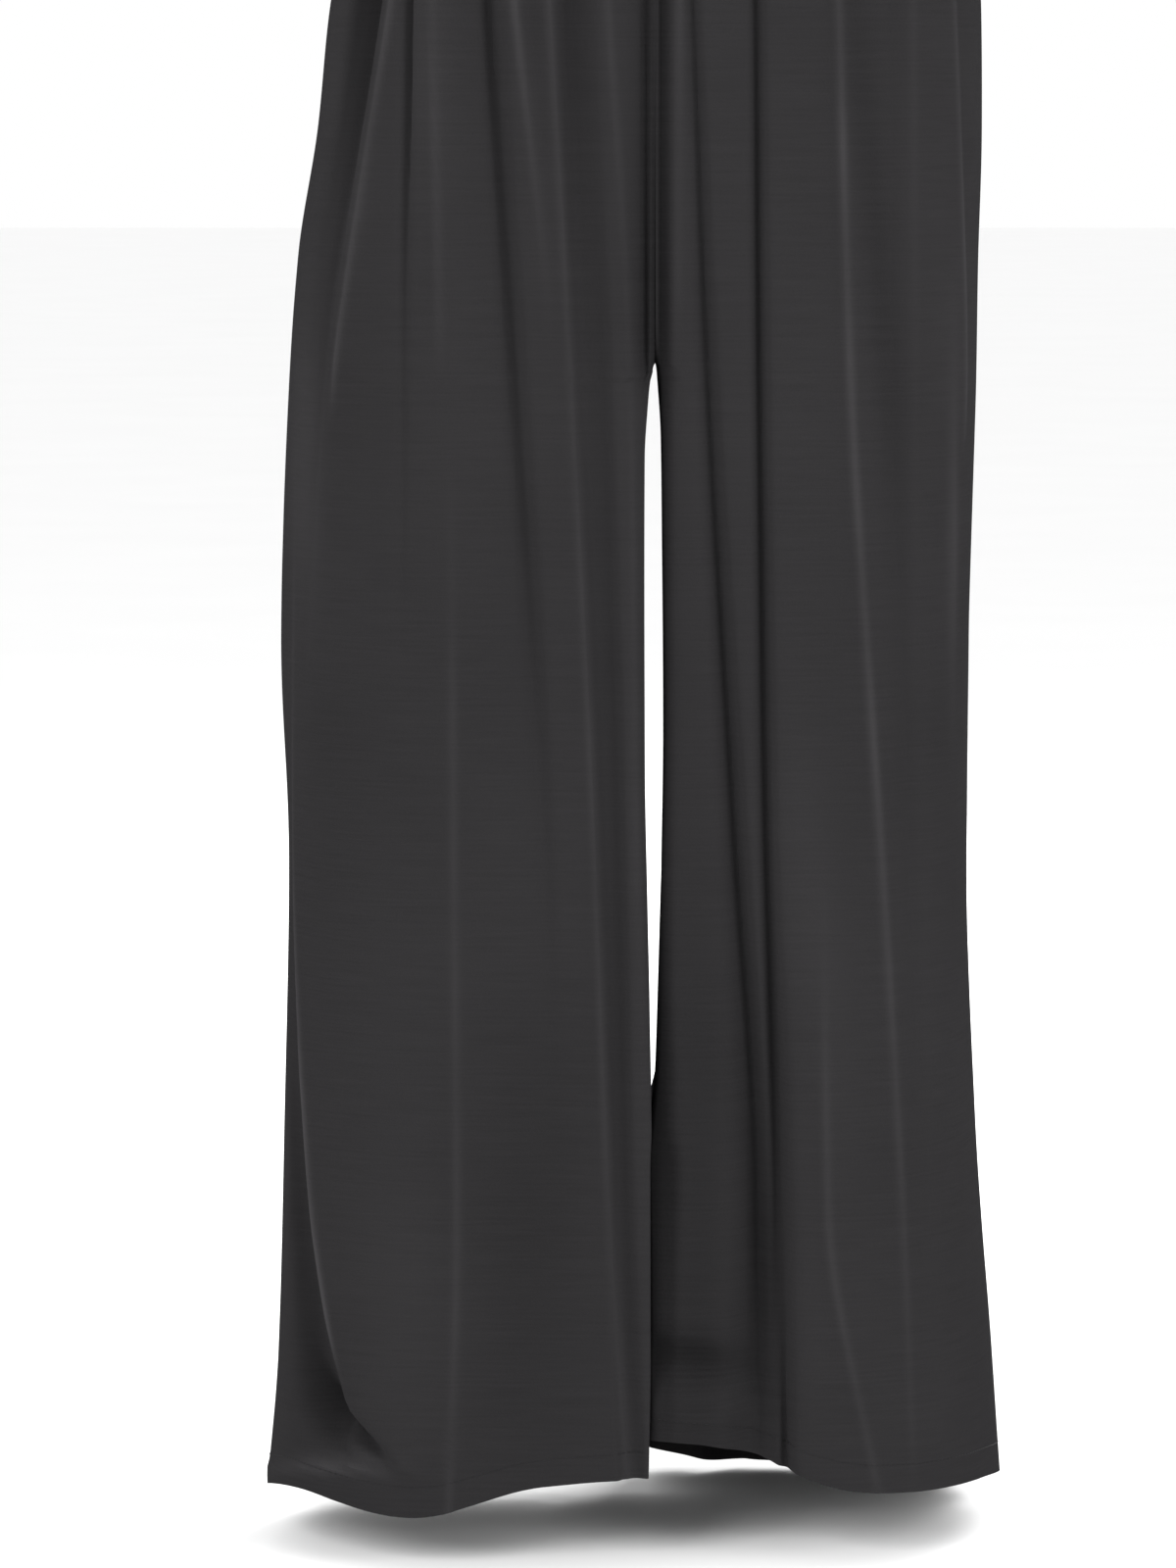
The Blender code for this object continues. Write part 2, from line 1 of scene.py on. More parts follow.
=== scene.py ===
"""Wide-leg overalls in charcoal crepe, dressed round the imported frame.

Metres, +Z up, the front towards -Y and the wearer's left towards +X. The origin is midway between
the shoulders. Every cloth piece stands for the solid of the same name and keeps its form. Heights
in the tables are measured up from the ground under the wearer, and the folds' and dents' tables
are in millimetres.
"""

import logging
import math
from dataclasses import dataclass
from enum import Enum
from typing import NamedTuple

import bpy
import numpy as np
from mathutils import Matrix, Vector, noise


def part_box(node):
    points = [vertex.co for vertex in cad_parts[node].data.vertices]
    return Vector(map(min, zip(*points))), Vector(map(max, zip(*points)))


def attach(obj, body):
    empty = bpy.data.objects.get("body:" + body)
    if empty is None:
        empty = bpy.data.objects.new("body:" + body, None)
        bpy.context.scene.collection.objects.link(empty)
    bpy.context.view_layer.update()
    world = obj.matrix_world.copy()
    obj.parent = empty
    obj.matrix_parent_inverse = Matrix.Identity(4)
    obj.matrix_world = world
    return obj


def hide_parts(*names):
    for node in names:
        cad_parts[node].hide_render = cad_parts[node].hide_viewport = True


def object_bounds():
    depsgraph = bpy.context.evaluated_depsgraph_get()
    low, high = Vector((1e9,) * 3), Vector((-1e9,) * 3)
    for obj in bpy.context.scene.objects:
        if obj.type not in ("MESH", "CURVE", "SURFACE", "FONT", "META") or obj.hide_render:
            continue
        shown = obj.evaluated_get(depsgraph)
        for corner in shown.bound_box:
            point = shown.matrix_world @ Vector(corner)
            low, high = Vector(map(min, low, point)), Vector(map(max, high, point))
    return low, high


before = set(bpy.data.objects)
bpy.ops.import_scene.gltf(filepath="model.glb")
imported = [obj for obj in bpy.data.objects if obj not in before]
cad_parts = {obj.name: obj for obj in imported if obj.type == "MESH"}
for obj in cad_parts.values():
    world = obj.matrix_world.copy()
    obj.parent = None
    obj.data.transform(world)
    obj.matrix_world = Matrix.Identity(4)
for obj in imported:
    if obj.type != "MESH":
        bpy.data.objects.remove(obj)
CAD_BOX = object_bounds()
log = logging.getLogger("overalls")

MM = 0.001
SHOULDER = 1.430  # height of the origin above the ground
STATIONS = (0.925, 0.700, 0.450, 0.220, 0.040)  # heights of the five columns of a fold's table
SEAM = 0.00004  # gap between neighbouring pieces
QUARTER_STEPS = 241
SHARP_ANGLE = math.radians(62.0)


def level_of(node: str, top: bool) -> float:
    """Height above the ground of a solid's lowest or highest level.

    Args:
        node: The solid's name in the frame.
        top: True for its highest level, False for its lowest.

    Returns:
        The height in metres above the ground.
    """
    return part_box(node)[1 if top else 0][2] + SHOULDER


WAIST = level_of("front_leg_right", True)
BAND_TOP = level_of("waistband_front", True)
BIB_TOP = level_of("bib_front", True)
BACK_TOP = level_of("bib_back", True)
CROTCH = 0.712
RISE_TOP = 0.850  # where the centre seam starts to turn in under the body
HEM = 0.040


class Side(Enum):
    """The wearer's side."""

    RIGHT = "right"
    LEFT = "left"


class Face(Enum):
    """Front or back of the garment."""

    FRONT = "front"
    BACK = "back"


class Section(NamedTuple):
    """One leg in plan at a height: side seam, crowns of front and back, inseam's depth, corners."""

    height: float
    side_x: float
    side_y: float
    crown_x: float
    front_y: float
    back_y: float
    inner_y: float
    outer_power: float
    inner_power: float


class Inseam(NamedTuple):
    """How near the two legs hang to each other at a height."""

    height: float
    right_x: float
    left_x: float


class Gully(NamedTuple):
    """The valley beside the centre seam: its reach, depth and lean in mm, and the shade painted
    into it.
    """

    height: float
    reach: float
    depth: float
    shade: float
    lean: float


class CentreSeam(NamedTuple):
    """Where the two centre seams lie at a height."""

    height: float
    front_y: float
    back_y: float


class Torso(NamedTuple):
    """The body above the waist in plan at a height."""

    height: float
    side_x: float
    crown_x: float
    front_y: float
    back_y: float
    power: float


class Hem(NamedTuple):
    """How high a panel's hem hangs, from the side seam round to the inseam."""

    side: float
    outer: float
    crown: float
    inner_crown: float
    inner: float
    inseam: float


class Fold(NamedTuple):
    """A fold that runs down a panel, in millimetres.

    run is how far from the centre line it lies, rise how far it stands out (+) or sinks in (-), and
    shine how much highlight is painted on its crest, partly for crease wear, all at the five
    stations. outer and inner are the widths of its slopes towards the side seam and the centre at
    the hip, and spread is how many times wider it is at the hem. crisp is 2 for a round fold, less
    for a sharper and more for a flat one. A fold dies out at the height down_to, and a straight one
    moves the cloth from front to back only. A fold that sinks in has shade painted in its hollow.
    One that is from_seam has its run measured round the cloth from the side seam.
    """

    name: str
    run: tuple[float, ...]
    rise: tuple[float, ...]
    outer: float
    inner: float
    crisp: float = 2.0
    spread: float = 1.0
    shine: tuple[float, ...] = (0, 0, 0, 0, 0)
    down_to: float = 0.0
    straight: bool = False
    from_seam: bool = False


class Dent(NamedTuple):
    """A short hollow (-) or swell (+) on a panel, or a patch of painted light or shade.

    Its place, half sizes and rise are in millimetres, and its turn in degrees. The last field is
    how much light (+) or shade (-) is painted on the cloth there.
    """

    name: str
    x: float
    height: float
    across: float
    up: float
    turn: float
    rise: float
    light_and_wear: float = 0.0


class Cut(NamedTuple):
    """A piece's flat cut, in metres and square metres."""

    width: float
    length: float
    area: float


class Wave(NamedTuple):
    """A soft unevenness of the cloth: how often it comes across and down it, and its rise."""

    across: float
    down: float
    rise: float


RIGHT_SECTIONS = (
    Section(1.050, -0.150, 0.000, -0.050, -0.105, 0.105, 0.010, 2.3, 8.0),
    Section(0.990, -0.173, 0.000, -0.072, -0.121, 0.125, 0.010, 2.3, 8.0),
    Section(0.925, -0.191, 0.000, -0.090, -0.131, 0.138, 0.010, 2.3, 8.0),
    Section(0.850, -0.199, -0.002, -0.100, -0.134, 0.140, 0.010, 2.3, 10.0),
    Section(0.775, -0.2108, -0.004, -0.106, -0.137, 0.132, 0.010, 2.3, 14.0),
    Section(0.700, -0.216, -0.008, -0.108, -0.140, 0.118, 0.010, 2.3, 18.0),
    Section(0.550, -0.2215, -0.014, -0.110, -0.142, 0.106, -0.010, 2.4, 20.0),
    Section(0.420, -0.2173, -0.020, -0.110, -0.139, 0.099, -0.020, 2.5, 22.0),
    Section(0.260, -0.2205, -0.025, -0.111, -0.137, 0.096, -0.032, 2.5, 50.0),
    Section(0.120, -0.2245, -0.028, -0.113, -0.138, 0.097, -0.040, 2.4, 60.0),
    Section(0.040, -0.2312, -0.030, -0.115, -0.141, 0.099, -0.042, 2.4, 60.0),
)
LEFT_SECTIONS = (
    Section(1.050, 0.150, 0.000, 0.050, -0.105, 0.105, 0.010, 2.3, 8.0),
    Section(0.990, 0.176, 0.000, 0.072, -0.121, 0.125, 0.010, 2.3, 8.0),
    Section(0.925, 0.193, 0.000, 0.090, -0.131, 0.138, 0.010, 2.3, 8.0),
    Section(0.850, 0.194, 0.003, 0.098, -0.131, 0.143, 0.010, 2.3, 10.0),
    Section(0.775, 0.1925, 0.006, 0.100, -0.128, 0.144, 0.010, 2.3, 14.0),
    Section(0.700, 0.192, 0.010, 0.100, -0.126, 0.145, 0.010, 2.3, 18.0),
    Section(0.550, 0.1888, 0.016, 0.098, -0.123, 0.150, 0.022, 2.3, 20.0),
    Section(0.420, 0.1883, 0.021, 0.097, -0.123, 0.155, 0.028, 2.3, 22.0),
    Section(0.260, 0.1945, 0.026, 0.098, -0.124, 0.161, 0.036, 2.3, 50.0),
    Section(0.120, 0.2052, 0.030, 0.102, -0.126, 0.168, 0.042, 2.3, 60.0),
    Section(0.040, 0.2108, 0.032, 0.105, -0.129, 0.172, 0.045, 2.3, 60.0),
)
INSEAM = (
    Inseam(0.712, -0.0002, 0.0002),
    Inseam(0.707, -0.0024, 0.0020),
    Inseam(0.690, -0.0042, 0.0036),
    Inseam(0.660, -0.0060, 0.0054),
    Inseam(0.600, -0.0062, 0.0062),
    Inseam(0.480, -0.0058, 0.0072),
    Inseam(0.400, -0.0042, 0.0062),
    Inseam(0.320, -0.0028, 0.0052),
    Inseam(0.271, -0.0042, 0.0036),
    Inseam(0.243, -0.0053, -0.0015),
    Inseam(0.120, -0.0051, -0.0013),
    Inseam(0.040, -0.0062, -0.0024),
)
CENTRE_SEAM = (
    CentreSeam(1.050, -0.105, 0.105),
    CentreSeam(0.990, -0.117, 0.123),
    CentreSeam(0.925, -0.125, 0.130),
    CentreSeam(0.850, -0.125, 0.134),
)
# The shade column is painted shade in the valley beside the centre seam, standing for the shadow
# there.
RIGHT_GULLY = (
    Gully(1.030, 14.0, 0.0, 0.0, 0.0),
    Gully(0.980, 14.0, 2.0, 0.2, 0.0),
    Gully(0.925, 14.0, 5.0, 0.7, 0.0),
    Gully(0.800, 14.0, 7.0, 0.8, 0.0),
    Gully(0.722, 13.5, 8.0, 0.9, 0.0),
    Gully(0.690, 13.5, 3.0, 0.2, 0.0),
    Gully(0.660, 14.0, 0.0, 0.0, 0.0),
    Gully(0.335, 14.0, 0.0, 0.0, 0.3),
    Gully(0.288, 14.0, 0.0, 0.0, 1.9),
    Gully(0.260, 14.0, 0.0, 0.0, 3.0),
    Gully(0.040, 14.0, 0.0, 0.0, 3.0),
)
LEFT_GULLY = (
    Gully(1.030, 8.3, 0.0, 0.0, 0.0),
    Gully(0.980, 8.3, 2.0, 0.3, 0.0),
    Gully(0.925, 8.3, 5.0, 0.9, 0.0),
    Gully(0.712, 8.3, 6.0, 1.0, 0.0),
    Gully(0.690, 8.8, 5.0, 1.0, 0.5),
    Gully(0.640, 9.7, 4.0, 1.0, 1.8),
    Gully(0.520, 10.0, 3.0, 0.7, 1.6),
    Gully(0.410, 11.0, 3.5, 0.8, 3.2),
    Gully(0.335, 12.5, 5.0, 1.0, 4.2),
    Gully(0.300, 13.9, 6.4, 1.0, 4.7),
    Gully(0.288, 14.1, 6.5, 1.0, 5.4),
    Gully(0.271, 14.3, 6.5, 1.0, 6.0),
    Gully(0.243, 14.5, 6.5, 1.0, 3.2),
    Gully(0.160, 13.0, 4.0, 0.8, 2.2),
    Gully(0.040, 12.0, 1.0, 0.3, 2.0),
)
TORSO = (
    Torso(1.050, 0.150, 0.050, -0.105, 0.105, 2.3),
    Torso(1.120, 0.150, 0.046, -0.108, 0.104, 2.3),
    Torso(1.200, 0.158, 0.042, -0.115, 0.108, 2.3),
    Torso(1.300, 0.165, 0.040, -0.116, 0.112, 2.3),
)

RIGHT_FRONT_FOLDS = (
    Fold("hip drag", (-161, -194, -206, -206, -206), (-26, -3, 0, 0, 0), 21, 5, straight=True),
    Fold("hip cleft", (-161, -193, -206, -206, -206), (-6, -1, 0, 0, 0), 5, 3),
    Fold(
        "hip crest", (-151, -186, -206, -206, -206), (3, 2, 1, 0, 0),
        3, 9, 1.3, 1, (1.4, 1.4, 0, 0, 0), 0.675,
    ),
    Fold("hip line", (-142.7, -146, -148, -148, -148), (-10, -2, 0, 0, 0), 3, 2.6, 2.2),
    Fold(
        "hip roll", (-128, -124, -123, -123, -123), (3, 1.5, 0, 0, 0),
        6, 16, 2.4, 1, (0.5, 0.6, 0, 0, 0), 0.70,
    ),
    Fold("thigh slope", (-96, -81, -67, -60, -56), (-6, -5, -2, 0, 0), 22, 6),
    Fold("thigh trough", (-95.5, -80.3, -65.5, -60, -56), (-9, -7, -2, 0, 0), 5, 4, 2.2, 1.5),
    Fold(
        "thigh lip", (-81.5, -60, -58, -58, -58), (3, 0, 0, 0, 0),
        7, 3, 1.4, 1, (1.2, 0, 0, 0, 0),
    ),
    Fold("lip hollow", (-74, -56, -54, -54, -54), (-4, 0, 0, 0, 0), 3.5, 7),
    Fold(
        "band crest", (-61, -48, -35.5, -26, -16), (4, 4, 4, 4, 3),
        16, 3, 1.3, 0.7, (0.8, 0.5, 0.6, 0.6, 0.4),
    ),
    Fold("band cleft", (-51, -44, -33, -21, -11), (-9, -2, 0, 0, 0), 6, 10),
    Fold(
        "band hollow", (-47.5, -35.5, -26.5, -20, -14.5), (-5, -7, -8, -7.5, -6.5),
        10, 10, 4, 0.6,
    ),
    Fold(
        "inner rim", (-28, -14, -11, -5.5, -4), (3, 3, 1, 0.5, 0.5),
        6, 4, 1.4, 1, (0.6, 0.2, 0.3, 0, 0.4),
    ),
    Fold("rim hollow", (-19, -9, -8, -8, -8), (-3.5, 0, 0, 0, 0), 4, 7),
    Fold("seam trench", (-6, -6, -6, -6, -6), (-6, -7, 0, 0, 0), 2.8, 2.6, 3, down_to=0.68),
    Fold(
        "shin ridge", (-118, -118, -117, -115.5, -120.5), (0, 0, 1.5, 2.5, 2.5),
        12, 3.5, 1.3, 1, (0, 0, 0.62, 0.68, 0.6),
    ),
    Fold(
        "side recess", (-214, -214, -216, -203.5, -179), (0, 0, -4, -24, -24),
        28, 5, down_to=0.055, straight=True,
    ),
    Fold(
        "side crest", (-210, -210, -212, -199.5, -176), (0, 0, 1, 5, 0),
        3, 9, 1.3, 1, (0, 0, 0.8, 2.4, 1.6), 0.105,
    ),
)
LEFT_FRONT_FOLDS = (
    Fold("seam trench", (4.8, 4.8, 4.8, 4.8, 4.8), (-3, -3, 0, 0, 0), 2.8, 2.6, 3, down_to=0.68),
    Fold("inner trough", (21.7, 31.7, 47, 60.5, 61), (-8, -12, -16, -17, -6), 2.6, 4.5, 1.7, 1.9),
    Fold(
        "seam lip", (13.5, 12.5, 12, 12, 12), (1.5, 1, 0, 0, 0),
        4, 5, 2, 1, (0.5, 0.3, 0, 0, 0), 0.72,
    ),
    Fold("deep trough", (58.6, 61.4, 66, 75.5, 78), (-9, -12, -13, -15, -15), 2.4, 4, 2, 1.4),
    Fold("shin hollow", (60, 60, 60, 66, 64), (0, 0, -1, -11, -14), 8, 20, 4),
    Fold("trough lip", (66, 70, 75, 87, 91), (2, 2, 2, 2, 1), 14, 5),
    Fold(
        "outer ridge", (104, 112.4, 129.3, 144, 152.5), (5, 5, 5, 4, 1),
        20, 5, 1.3, 1, (1.2, 1.5, 1.1, 0.7, 0.1),
    ),
    Fold("ridge hollow", (136, 139, 150, 158, 160), (-6, -7, -5, -2, 0), 9, 22, 1.4),
    Fold(
        "hip ridge", (148, 151, 153, 153, 153), (1.5, 0.8, 0, 0, 0),
        8, 6, 2, 1, (0.3, 0.1, 0, 0, 0),
    ),
    Fold(
        "side ridge", (172.5, 181.5, 181, 181, 181), (2, 2, 0, 0, 0),
        5, 7, 1.4, 1, (1, 1.2, 0, 0, 0), 0.65,
    ),
    Fold(
        "shin ridge", (98, 98, 98, 101, 131), (0, 0, 0, 4, 1.5),
        16, 5, 1.3, 1, (0, 0, 0, 0.75, 0.5),
    ),
)
RIGHT_BACK_FOLDS = (
    Fold("seat fold", (-64, -58, -52, -48, -45), (-2, -6, -9, -11, -11), 12, 8, 1.8),
    Fold(
        "seat crest", (-80, -76, -72, -68, -66), (2, 3, 4, 4, 4),
        4, 12, 1.4, 1, (0.3, 0.6, 0.7, 0.7, 0.5),
    ),
    Fold("calf fold", (-121, -119, -116, -113, -110), (-3, -7, -10, -11, -9), 16, 7, 1.8),
    Fold(
        "calf crest", (-106, -104, -101, -98, -96), (1, 2, 3, 3, 3),
        5, 10, 1.4, 1, (0, 0.4, 0.6, 0.6, 0.4),
    ),
    Fold(
        "outer ridge", (-146, -148, -150, -150, -152), (2, 3, 4, 4, 3),
        8, 9, 1.5, 1, (0.4, 0.5, 0.4, 0.3, 0.2),
    ),
    Fold("side fold", (-166, -175, -182, -184, -188), (-1, -4, -7, -8, -9), 9, 9),
    Fold("flank fold", (44, 40, 37, 31, 27), (-2, -5, -6, -7, -5), 7, 13, 1.7, 1.3, from_seam=True),
    Fold(
        "flank crest", (62, 59, 56, 49, 44), (1, 2, 2, 2, 1),
        5, 8, 1.5, 1, (0.2, 0.6, 0.5, 0.3, 0), from_seam=True,
    ),
)
LEFT_BACK_FOLDS = (
    Fold("seat fold", (42, 41, 39, 37, 36), (-2, -6, -9, -10, -9), 13, 9, 1.8),
    Fold(
        "middle ridge", (66, 65, 64, 62, 60), (2, 3, 4, 4, 4),
        5, 12, 1.4, 1, (0.3, 0.5, 0.7, 0.7, 0.5),
    ),
    Fold("calf fold", (97, 99, 101, 105, 109), (-3, -8, -12, -13, -12), 7, 15, 1.8),
    Fold(
        "outer ridge", (116, 118, 120, 124, 128), (2, 3, 3, 4, 4),
        10, 5, 1.4, 1, (0.3, 0.6, 0.6, 0.5, 0.4),
    ),
    Fold("side fold", (152, 154, 157, 162, 168), (-1, -4, -6, -8, -9), 10, 9),
    Fold("flank fold", (30, 33, 39, 47, 52), (-1, -3, -6, -8, -8), 14, 8, 1.8, 1.2, from_seam=True),
    Fold(
        "flank crest", (18, 20, 22, 27, 30), (0, 1, 1, 1, 1),
        8, 5, 1.5, 1, (0, 0.5, 0.7, 0.5, 0.3), from_seam=True,
    ),
)
# Each dent's last column is painted light (+) or painted shade (-); a dent with no rise is only a
# painted patch.
RIGHT_FRONT_DENTS = (
    Dent("foot hollow", -195, 94, 10, 26, 14, -13, -0.4),
    Dent("foot crease", -176, 83, 5.5, 23, 54, -16, -0.3),
    Dent("foot roll", -186, 61, 5, 32, -74, 8, 1.7),
    Dent("hip light", -204, 665, 11, 80, 0, 0, 0.8),
    Dent("pocket light", -131, 890, 12, 60, 0, 0, 0.5),
    Dent("crest light", -169.5, 812, 4, 42, -9, 0, 0.4),
    Dent("shin light", -150, 180, 34, 90, 0, 0, 0.35),
    Dent("calf shade", -70, 190, 36, 120, 0, 0, -0.5),
)
# As above, the last column is painted light (+) or painted shade (-).
LEFT_FRONT_DENTS = (
    Dent("instep shade", 22, 104, 32, 15, -8, -14, -0.6),
    Dent("instep swell", 28, 66, 30, 14, 0, 9),
    Dent("inner shade", 26, 160, 24, 260, 0, 0, -0.65),
    Dent("trough shade", 66, 170, 6, 70, 0, 0, -0.7),
    Dent("hip shade", 124, 820, 11, 170, 6, 0, -0.45),
    Dent("flank crest", 174.5, 615, 3.5, 85, 0, 1.2, 0.95),
    Dent("flank light", 178, 725, 16, 60, 0, 0, 0.45),
    Dent("shin light", 94, 390, 16, 130, 6, 0, 0.35),
)


def columns_of(table: tuple) -> dict[str, "Profile"]:
    """Each column of a table by its name, as a profile over the table's heights.

    Args:
        table: Rows of one NamedTuple type whose first field is the height.

    Returns:
        The profiles by column name.
    """
    heights = tuple(row.height for row in table)
    names = table[0]._fields[1:]
    return {name: Profile(heights, tuple(getattr(row, name) for row in table)) for name in names}


def cubic(levels: np.ndarray, slopes: np.ndarray, knots: np.ndarray, where: float) -> np.ndarray:
    """Where a smooth curve through knots is at a place.

    Args:
        levels: The value, or the row of values, at each knot.
        slopes: Its slope at each knot.
        knots: Where the knots lie, in rising order.
        where: The place.

    Returns:
        The value, or the row of values.
    """
    span = int(np.clip(np.searchsorted(knots, where) - 1, 0, len(knots) - 2))
    width = knots[span + 1] - knots[span]
    share = (where - knots[span]) / width
    start = levels[span] * (1.0 + 2.0 * share) * (1.0 - share) ** 2
    end = levels[span + 1] * share**2 * (3.0 - 2.0 * share)
    lean = slopes[span] * (1.0 - share) - slopes[span + 1] * share
    return start + end + width * share * (1.0 - share) * lean


@dataclass(frozen=True)
class Profile:
    """A value that changes smoothly with height and never swings past the rows it is read from."""

    heights: tuple[float, ...]
    values: tuple[float, ...]

    def at(self, where: float) -> float:
        """The value at a height.

        Args:
            where: The height, clamped to the table's own.

        Returns:
            The value on a monotone cubic through the rows.
        """
        order = np.argsort(self.heights)
        knots = np.asarray(self.heights, float)[order]
        levels = np.asarray(self.values, float)[order]
        slopes = np.diff(levels) / np.diff(knots)
        before = slopes[:-1]
        after = slopes[1:]
        tangents = np.concatenate(([slopes[0]], np.zeros(len(before)), [slopes[-1]]))
        agree = before * after > 0.0
        tangents[1:-1][agree] = 2.0 * before[agree] * after[agree] / (before[agree] + after[agree])
        return float(cubic(levels, tangents, knots, np.clip(where, knots[0], knots[-1])))


def eased(share: np.ndarray | float) -> np.ndarray | float:
    """A share from 0 to 1 that starts and ends level."""
    share = np.clip(share, 0.0, 1.0)
    return share * share * (3.0 - 2.0 * share)


def lengths_along(points: np.ndarray) -> np.ndarray:
    """The length of an outline up to each of its points."""
    steps = np.linalg.norm(np.diff(points, axis=0), axis=1)
    return np.concatenate(([0.0], np.cumsum(steps)))


def read_at(points: np.ndarray, along: np.ndarray, places: np.ndarray) -> np.ndarray:
    """An outline's points read at given lengths along it."""
    return np.column_stack([np.interp(places, along, column) for column in points.T])


def quarter(start: tuple[float, float], crown: tuple[float, float], power: float) -> np.ndarray:
    """A rounded quarter from a seam, where it runs front to back, to a crown, where it is level.

    Args:
        start: The seam.
        crown: The crown.
        power: How square the corner is; 2 is round.

    Returns:
        Its points, from the seam to the crown.
    """
    angle = np.linspace(0.0, np.pi / 2.0, QUARTER_STEPS)
    across = np.abs(np.cos(angle)) ** (2.0 / power)
    deep = np.abs(np.sin(angle)) ** (2.0 / power)
    x = crown[0] + (start[0] - crown[0]) * across
    y = start[1] + (crown[1] - start[1]) * deep
    return np.column_stack((x, y))


def outward(
    points: np.ndarray, along: np.ndarray, turn: float, ends: tuple[int, ...]
) -> np.ndarray:
    """The outline's outward directions.

    Args:
        points: The outline in plan.
        along: The length up to each point.
        turn: 1 where outwards lies to the right of the way along, -1 where it lies to the left.
        ends: The ends at which outwards is straight across.

    Returns:
        One unit direction for each point.
    """
    slope_x = np.gradient(points[:, 0], along)
    slope_y = np.gradient(points[:, 1], along)
    normals = np.column_stack((slope_y, -slope_x)) * turn
    for end in ends:
        normals[end] = (np.sign(normals[end, 0]), 0.0)
    return normals / np.linalg.norm(normals, axis=1)[:, None]


def piece_of(name: str, mesh: bpy.types.Mesh, material: bpy.types.Material) -> bpy.types.Object:
    """A new smooth piece in the scene, in one material.

    Args:
        name: Its name.
        mesh: Its mesh.
        material: What it is made of.

    Returns:
        The object.
    """
    mesh.shade_smooth()
    mesh.materials.append(material)
    piece = bpy.data.objects.new(name, mesh)
    bpy.context.scene.collection.objects.link(piece)
    return piece


class Level(NamedTuple):
    """One level of a cloth piece, edge to edge: points in plan, pattern, and wear with painted
    light and shade.
    """

    outer: np.ndarray
    inner: np.ndarray
    places: np.ndarray
    painted_light_and_wear: np.ndarray
    z: np.ndarray


def stacked(levels: list[Level]) -> "ClothGrid":
    """A cloth piece's grids from its levels, the top one first.

    Args:
        levels: The levels.

    Returns:
        The grids.
    """
    outer, inner, cloth = (
        np.array([np.column_stack((getattr(level, part), level.z)) for level in levels])
        for part in ("outer", "inner", "places")
    )
    return ClothGrid(outer, inner, cloth, np.array([level.painted_light_and_wear for level in levels]))


@dataclass
class ClothGrid:
    """A piece of cloth as two grids of points, with its pattern's coordinates and its wear and
    painted light and shade.
    """

    outer: np.ndarray
    inner: np.ndarray
    cloth: np.ndarray
    painted_light_and_wear: np.ndarray

    def point(self, row: float, column: float) -> np.ndarray:
        """A point of the outer grid at any row and column.

        Args:
            row: The row, also between two rows.
            column: The column, also between two columns.

        Returns:
            The point.
        """
        rows, columns, _ = self.outer.shape
        low_row = int(np.clip(math.floor(row), 0, rows - 2))
        low_column = int(np.clip(math.floor(column), 0, columns - 2))
        part = row - low_row
        side = column - low_column
        corner = self.outer[low_row : low_row + 2, low_column : low_column + 2]
        near = corner[0, 0] * (1.0 - side) + corner[0, 1] * side
        far = corner[1, 0] * (1.0 - side) + corner[1, 1] * side
        return near * (1.0 - part) + far * part

    def facing(self, row: float, column: float) -> np.ndarray:
        """The outward direction at any row and column.

        Args:
            row: The row, also between two rows.
            column: The column, also between two columns.

        Returns:
            The direction, of length 1.
        """
        down = self.point(row + 0.5, column) - self.point(row - 0.5, column)
        across = self.point(row, column + 0.5) - self.point(row, column - 0.5)
        rows, columns, _ = self.outer.shape
        nearest = (
            int(np.clip(round(row), 0, rows - 1)),
            int(np.clip(round(column), 0, columns - 1)),
        )
        face = np.cross(down, across)
        face /= np.linalg.norm(face)
        away = self.outer[nearest] - self.inner[nearest]
        return face if face @ away > 0.0 else -face

    def shell(self, name: str, finish: "CrepeFinish") -> bpy.types.Object:
        """The closed thin shell of this cloth.

        Args:
            name: The new object's name.
            finish: The cloth's finish.

        Returns:
            The object, in the scene.
        """
        rows, columns, _ = self.outer.shape
        count = rows * columns
        index = np.arange(count).reshape(rows, columns)
        quads = np.stack(
            (index[:-1, :-1], index[1:, :-1], index[1:, 1:], index[:-1, 1:]), axis=-1
        ).reshape(-1, 4)
        rim = np.concatenate(
            (index[0, :], index[1:, -1], index[-1, -2::-1], index[-2:0:-1, 0])
        )
        edge = np.stack((rim, np.roll(rim, -1), np.roll(rim, -1) + count, rim + count), axis=-1)
        faces = np.vstack((quads, quads[:, ::-1] + count, edge))
        middle = quads[len(quads) // 2]
        flat = self.outer.reshape(-1, 3)
        face = np.cross(flat[middle[1]] - flat[middle[0]], flat[middle[2]] - flat[middle[0]])
        if face @ (flat[middle[0]] - self.inner.reshape(-1, 3)[middle[0]]) < 0.0:
            faces = faces[:, ::-1]
        mesh = bpy.data.meshes.new(name)
        mesh.from_pydata(np.vstack((flat, self.inner.reshape(-1, 3))).tolist(), [], faces.tolist())
        pattern = np.vstack((self.cloth.reshape(-1, 2),) * 2)
        layer = mesh.uv_layers.new(name="cloth")
        layer.data.foreach_set("uv", pattern[faces.reshape(-1)].astype(np.float32).reshape(-1))
        # painted light and shade, with some wear, kept on the points for the material to read
        light_and_wear_layer = mesh.attributes.new("painted_light_and_wear", "FLOAT", "POINT")
        light_and_wear_layer.data.foreach_set("value", np.tile(self.painted_light_and_wear.reshape(-1), 2).astype(np.float32))
        piece = piece_of(name, mesh, finish.material())
        mesh.set_sharp_from_angle(angle=SHARP_ANGLE)
        return piece


